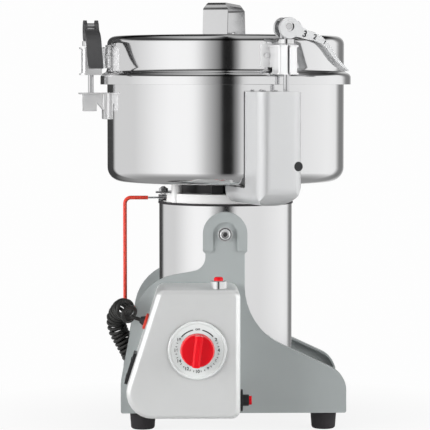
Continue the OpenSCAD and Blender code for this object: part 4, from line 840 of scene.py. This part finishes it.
class MILL_OT_side_plates(bpy.types.Operator):
    """Side plates, pan, pivots and foot screws"""

    bl_idname = "mill.side_plates"
    bl_label = "Side plates and pan"

    def execute(self, context):
        for node in ("front_plate", "rear_plate"):
            dress(node, "Satin plate", edge=0.8 * MM, steps=3)
        dress("base_pan", "Pan sheet", edge=sizes().fine_edge)
        dress("base_screws", "Zinc steel", edge=0.3 * MM)
        dress("pivot_bushes", "Nylon", edge=0.2 * MM)
        washers = dress("pivot_washers", "Bright sheet", edge=0.4 * MM)
        bolts = dress("pivot_bolts", "Bright sheet", edge=0.5 * MM)
        # the sockets take the dark grey finish: painted shade in the recess
        repaint(bolts, "Grey cover", in_shaded_socket)
        faces = [vertex.co.y for vertex in washers.data.vertices]
        # the dark rings are painted shade where each bolt's head meets its washer, in the rubber finish
        rings = [painted_shade_ring(min(faces)), painted_shade_ring(max(faces))]
        new_piece(rings, "pivot_painted_shade_rings", "Rubber", "pivot_washers")
        return {"FINISHED"}


class MILL_OT_feet(bpy.types.Operator):
    """Tapered rubber feet"""

    bl_idname = "mill.feet"
    bl_label = "Feet"

    def execute(self, context):
        dress("feet", "Rubber", edge=0.8 * MM, steps=3)
        return {"FINISHED"}


# ---------------------------------------------------------- the control box


class MILL_OT_control_box(bpy.types.Operator):
    """Painted control box, its closing plate and the timer's body"""

    bl_idname = "mill.control_box"
    bl_label = "Control box"

    def execute(self, context):
        dress("control_box", "Silver paint", edge=0.3 * MM, angle=50.0)
        dress("box_back", "Satin plate", edge=sizes().fine_edge)
        dress("timer_body", "Black plastic", edge=0.6 * MM)
        return {"FINISHED"}


# The dial's middle and its face, in metres
DIAL_X, DIAL_Z, DIAL_FACE_Y = -0.0309, 0.0896, -0.1481
RIM_R = 27.9 * MM  # the dial's bright rim starts here
# Angles on the dial are in degrees from the right, upwards
NUMBERS = ["2", "4", "6", "8", "10", "12", "14", "16", "18"]
FIRST_ANGLE, TICK_ANGLE = 30.0, 10.0
TICKS_PER_NUMBER = 3
TICK_ROUND_SHARE = 0.2
ARCS = [(41.0, 76.0), (102.0, 140.0)]
ARC_R, ARC_W, ARC_STEPS = 19.9 * MM, 1.1 * MM, 20
OFF_ANGLE, OFF_R, OFF_H = 89.0, 20.0 * MM, 1.9 * MM


def on_dial(radius, angle):
    """A point of the dial's face"""
    a = math.radians(angle)
    return Vector((DIAL_X + radius * math.cos(a), DIAL_FACE_Y, DIAL_Z + radius * math.sin(a)))


def on_rim(point):
    """Is this point of the dial plate on its raised rim?"""
    return math.hypot(point.x - DIAL_X, point.z - DIAL_Z) > RIM_R


def tick(angle):
    """One tick of the dial, with its ends rounded"""
    wide = sizes().tick_w
    bpy.ops.object.select_all(action="DESELECT")
    bpy.ops.mesh.primitive_cube_add(size=1.0, location=on_dial(sizes().tick_r, angle))
    obj = bpy.context.object
    obj.scale = (sizes().tick_l, 2 * sizes().mark_h, wide)
    obj.rotation_euler = (0.0, -math.radians(angle), 0.0)
    bpy.ops.object.transform_apply(location=False, rotation=False, scale=True)
    bpy.ops.object.mode_set(mode="EDIT")
    bpy.ops.mesh.select_all(action="SELECT")
    bpy.ops.mesh.bevel(offset=wide * TICK_ROUND_SHARE, segments=2, affect="EDGES")
    bpy.ops.object.mode_set(mode="OBJECT")
    return obj


def dial_arc(start, end):
    """A printed arc: a small rectangle swept round the dial's middle"""
    bpy.ops.object.select_all(action="DESELECT")
    bpy.ops.mesh.primitive_plane_add(
        size=1.0, location=on_dial(ARC_R, start), rotation=(0.0, -math.radians(start), 0.0)
    )
    obj = bpy.context.object
    obj.scale = (ARC_W, 2 * sizes().mark_h, 1.0)
    bpy.ops.object.transform_apply(location=True, rotation=True, scale=True)
    bpy.ops.object.mode_set(mode="EDIT")
    bpy.ops.mesh.select_all(action="SELECT")
    bpy.ops.mesh.spin(
        steps=ARC_STEPS, angle=math.radians(end - start),
        center=(DIAL_X, DIAL_FACE_Y, DIAL_Z), axis=(0.0, 1.0, 0.0),
    )
    bpy.ops.mesh.select_all(action="SELECT")
    bpy.ops.mesh.normals_make_consistent(inside=False)
    bpy.ops.object.mode_set(mode="OBJECT")
    return obj


class MILL_OT_dial(bpy.types.Operator):
    """Dial plate with its ticks, numbers, arcs and the OFF mark"""

    bl_idname = "mill.dial"
    bl_label = "Dial"

    def execute(self, context):
        plate = dress("dial_plate", "Dial face", edge=0.3 * MM)
        repaint(plate, "Chrome", on_rim)
        marks = []
        for step in range(TICKS_PER_NUMBER * (len(NUMBERS) - 1) + 1):
            angle = FIRST_ANGLE - TICK_ANGLE * step
            if step % TICKS_PER_NUMBER:
                marks.append(tick(angle))
        for i, number in enumerate(NUMBERS):
            angle = FIRST_ANGLE - TICK_ANGLE * TICKS_PER_NUMBER * i
            marks.append(text_mesh(number, sizes().digit_h, on_dial(sizes().tick_r, angle)))
        marks += [dial_arc(start, end) for start, end in ARCS]
        marks.append(text_mesh("OFF", OFF_H, on_dial(OFF_R, OFF_ANGLE)))
        new_piece(marks, "dial_marks", "Printing ink", "dial_plate")
        return {"FINISHED"}


class MILL_OT_timer_knob(bpy.types.Operator):
    """Red timer knob with its raised grip bar"""

    bl_idname = "mill.timer_knob"
    bl_label = "Timer knob"

    def execute(self, context):
        knob = dress("timer_knob", "Red plastic", edge=0.7 * MM, steps=3)
        knob.visible_diffuse = False  # else it tints the dial, which stays grey in the photograph
        return {"FINISHED"}


class MILL_OT_buttons(bpy.types.Operator):
    """Start button in its bright collar, reset button and rocker switch"""

    bl_idname = "mill.buttons"
    bl_label = "Buttons and switch"

    def execute(self, context):
        dress("start_collar", "Polished steel", edge=0.3 * MM)
        dress("start_button", "Red plastic", edge=0.4 * MM)
        dress("reset_body", "Black plastic", edge=0.4 * MM)
        dress("reset_button", "Red plastic", edge=0.4 * MM)
        dress("rocker_frame", "Black plastic", edge=0.6 * MM)
        dress("rocker", "Black plastic", edge=0.5 * MM)
        return {"FINISHED"}


# The hanger's wire is bare above and inside this place, and coated elsewhere
HANGER_COAT_X, HANGER_COAT_Z = -0.0788, 0.2
GLAND_FLANGE_T = 0.0027  # the gland's red flange; the rubber sleeve starts on it


class MILL_OT_cord_fittings(bpy.types.Operator):
    """Cord glands, the coated hanger rod and its clamp"""

    bl_idname = "mill.cord_fittings"
    bl_label = "Cord fittings"

    def execute(self, context):
        sleeve = dress("box_cord_gland", "Red coating", edge=0.4 * MM)
        seat, out = gland()
        repaint(sleeve, "Rubber", lambda p: (p - seat * MM).dot(out) > GLAND_FLANGE_T)
        dress("mains_gland", "Rubber", edge=0.5 * MM)
        hanger = dress("cord_hanger", "Red coating")
        repaint(hanger, "Zinc steel", lambda p: p.x > HANGER_COAT_X and p.z > HANGER_COAT_Z)
        hanger.visible_glossy = False  # the photograph shows no red line in the motor's housing
        dress("hanger_clamp", "Zinc steel", edge=0.3 * MM)
        return {"FINISHED"}


# ------------------------------------------------------------------- stage

# Studio reflections: compass place in degrees from the camera's side of the
# room, counted to the right, and how bright the room is there
ROOM = [
    (-180, 0.4), (-175, 0.3), (-171, 0.05), (-143, 0.05), (-137, 0.6), (-100, 0.61),
    (-85, 0.71), (-70, 0.83), (-55, 0.9), (-37, 0.9), (-31, 0.85), (-25, 0.69), (-19, 0.48),
    (-13, 0.33), (-7, 0.17), (-4, 0.013), (5, 0.013), (7, 0.14), (10, 0.29), (14, 0.62),
    (20, 0.71), (60, 0.7), (85, 0.76), (115, 0.82), (132, 0.78), (138, 0.4), (143, 0.2),
    (155, 0.18), (163, 0.32), (172, 0.6), (180, 0.55),
]
# From straight below (0) over the horizon (0.5) to straight above (1): a share of the
# room's brightness
CEILING = [(0.66, 1.0), (0.74, 0.06), (0.86, 0.1), (0.93, 0.5), (1.0, 0.6)]
ROOM_STRENGTH = 1.14
GROUND_TONE = 0.985  # the white that the camera sees
SOFT_TONE = 0.13  # the light that the world gives to matt faces
FLOOR_R, FLOOR_DROP, FLOOR_TONE = 3.0, 0.2 * MM, 0.8
TABLE_TONE = 0.3  # polished metal mirrors this in place of the floor
# name, place, side, power in watts
LAMPS = [
    ("left_lamp", (-2.2, -1.1, 0.1), 2.6, 182.0),
    ("right_lamp", (2.2, -1.1, 0.1), 2.6, 152.0),
    ("back_lamp", (0.3, 2.3, 0.5), 1.5, 20.0),
]
LAMP_TARGET = Vector((0.0, 0.0, 0.2))


def studio_world():
    """A white ground for the camera, soft grey light, and panels for reflections"""
    world = bpy.data.worlds.new("Studio")
    world.use_nodes = True
    bpy.context.scene.world = world
    tree = world.node_tree
    tree.nodes.clear()
    place = add(tree, "ShaderNodeTexCoord")
    parts = add(tree, "ShaderNodeSeparateXYZ")
    join(tree, place.outputs["Generated"], parts.inputs[0])
    x, y, z = parts.outputs
    turn = maths(tree, "ARCTAN2", x, times(tree, y, -1.0))
    room = tone_ramp(tree, [((angle + 180.0) / 360.0, tone) for angle, tone in ROOM])
    join(tree, plus(tree, maths(tree, "DIVIDE", turn, 2 * math.pi), 0.5), room.inputs["Fac"])
    ceiling = tone_ramp(tree, CEILING)
    join(tree, plus(tree, times(tree, z, 0.5), 0.5), ceiling.inputs["Fac"])
    mirrored = add(
        tree, "ShaderNodeMix", {"Factor": 1.0}, data_type="RGBA", blend_type="MULTIPLY"
    )
    # sockets 6 and 7 are the two colours, and output 2 is theirs
    join(tree, room.outputs["Color"], mirrored.inputs[6])
    join(tree, ceiling.outputs["Color"], mirrored.inputs[7])
    seen = add(tree, "ShaderNodeBackground", {"Color": grey(GROUND_TONE)})
    soft = add(tree, "ShaderNodeBackground", {"Color": grey(SOFT_TONE)})
    shiny = add(tree, "ShaderNodeBackground", {"Strength": ROOM_STRENGTH})
    join(tree, mirrored.outputs[2], shiny.inputs["Color"])
    rays = add(tree, "ShaderNodeLightPath").outputs
    lights = mix_shaders(tree, rays["Is Glossy Ray"], soft.outputs[0], shiny.outputs[0])
    whole = mix_shaders(tree, rays["Is Camera Ray"], lights, seen.outputs[0])
    out = add(tree, "ShaderNodeOutputWorld")
    join(tree, whole, out.inputs[0])


def floor_material():
    """Pale floor that keeps the object's shadow and runs out into the white ground"""
    material = bpy.data.materials.new("Studio floor")
    material.use_nodes = True
    tree = material.node_tree
    tree.nodes.clear()
    place = add(tree, "ShaderNodeTexCoord")
    spread = add(tree, "ShaderNodeVectorMath", operation="LENGTH")
    join(tree, place.outputs["Object"], spread.inputs[0])
    rays = add(tree, "ShaderNodeLightPath").outputs
    matt = add(tree, "ShaderNodeBsdfDiffuse", {"Color": grey(FLOOR_TONE)})
    white = add(tree, "ShaderNodeEmission", {"Color": grey(GROUND_TONE)})
    far = add(
        tree, "ShaderNodeMapRange",
        {"From Min": 0.12, "From Max": 0.32, "To Min": 0.88, "To Max": 1.0},
    )
    join(tree, spread.outputs["Value"], far.inputs["Value"])
    whiteness = times(tree, rays["Is Camera Ray"], far.outputs["Result"])
    ground = mix_shaders(tree, whiteness, matt.outputs[0], white.outputs[0])
    # polished metal mirrors a darker table, and the room beyond it
    table = add(tree, "ShaderNodeEmission", {"Strength": TABLE_TONE})
    room = add(tree, "ShaderNodeBsdfTransparent")
    depth = add(tree, "ShaderNodeMapRange", {"From Min": 0.3, "From Max": 0.8})
    join(tree, spread.outputs["Value"], depth.inputs["Value"])
    mirrored = mix_shaders(tree, depth.outputs["Result"], table.outputs[0], room.outputs[0])
    whole = mix_shaders(tree, rays["Is Glossy Ray"], ground, mirrored)
    out = add(tree, "ShaderNodeOutputMaterial")
    join(tree, whole, out.inputs[0])
    return material


def soft_lamp(name, place, side, power):
    """A square soft box that looks at the mill; metal mirrors the room instead"""
    bpy.ops.object.light_add(type="AREA", location=place)
    lamp = bpy.context.object
    lamp.name = name
    lamp.data.shape = "SQUARE"
    lamp.data.size = side
    lamp.data.energy = power
    lamp.rotation_euler = (LAMP_TARGET - Vector(place)).to_track_quat("-Z", "Y").to_euler()
    lamp.visible_glossy = False


class MILL_OT_stage(bpy.types.Operator):
    """Pale floor, soft lamps and the studio around them"""

    bl_idname = "mill.stage"
    bl_label = "Studio"

    def execute(self, context):
        context.scene.view_settings.view_transform = "Standard"
        studio_world()
        bpy.ops.object.select_all(action="DESELECT")
        bpy.ops.mesh.primitive_circle_add(
            vertices=96, radius=FLOOR_R, fill_type="NGON", location=(0.0, 0.0, -FLOOR_DROP)
        )
        floor = context.object
        bpy.ops.object.transform_apply(location=True, rotation=True, scale=True)
        floor.name = "studio_floor"
        floor.data.materials.append(floor_material())
        for lamp in LAMPS:
            soft_lamp(*lamp)
        return {"FINISHED"}


# ------------------------------------------------------------------- panel

STEPS = (
    MILL_OT_camera, MILL_OT_curly_cord, MILL_OT_bowl, MILL_OT_lid, MILL_OT_latches, MILL_OT_arm,
    MILL_OT_motor, MILL_OT_motor_insides, MILL_OT_blades, MILL_OT_side_plates, MILL_OT_feet,
    MILL_OT_control_box, MILL_OT_dial, MILL_OT_timer_knob, MILL_OT_buttons, MILL_OT_cord_fittings,
    MILL_OT_stage,
)


class MILL_PT_pieces(bpy.types.Panel):
    """Lists the mill's pieces and its colours and sizes"""

    bl_idname = "MILL_PT_pieces"
    bl_label = "Grain mill"
    bl_space_type = "VIEW_3D"
    bl_region_type = "UI"
    bl_category = "Grain mill"

    def draw(self, context):
        column = self.layout.column(align=True)
        for step in STEPS:
            column.operator(step.bl_idname)
        for values in (colours(), sizes()):
            box = self.layout.box()
            for name in values.__annotations__:
                box.prop(values, name)


CLASSES = (MillColours, MillSizes, *STEPS, MILL_PT_pieces)


def register():
    for cls in CLASSES:
        bpy.utils.register_class(cls)
    bpy.types.Scene.mill_colours = bpy.props.PointerProperty(type=MillColours)
    bpy.types.Scene.mill_sizes = bpy.props.PointerProperty(type=MillSizes)


def unregister():
    del bpy.types.Scene.mill_sizes
    del bpy.types.Scene.mill_colours
    for cls in reversed(CLASSES):
        bpy.utils.unregister_class(cls)


def main():
    """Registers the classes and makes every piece"""
    register()
    for step in STEPS:
        area, name = step.bl_idname.split(".")
        result = getattr(getattr(bpy.ops, area), name)()
        if "FINISHED" not in result:
            raise RuntimeError(step.bl_idname + " did not finish")


if __name__ == "__main__":
    main()
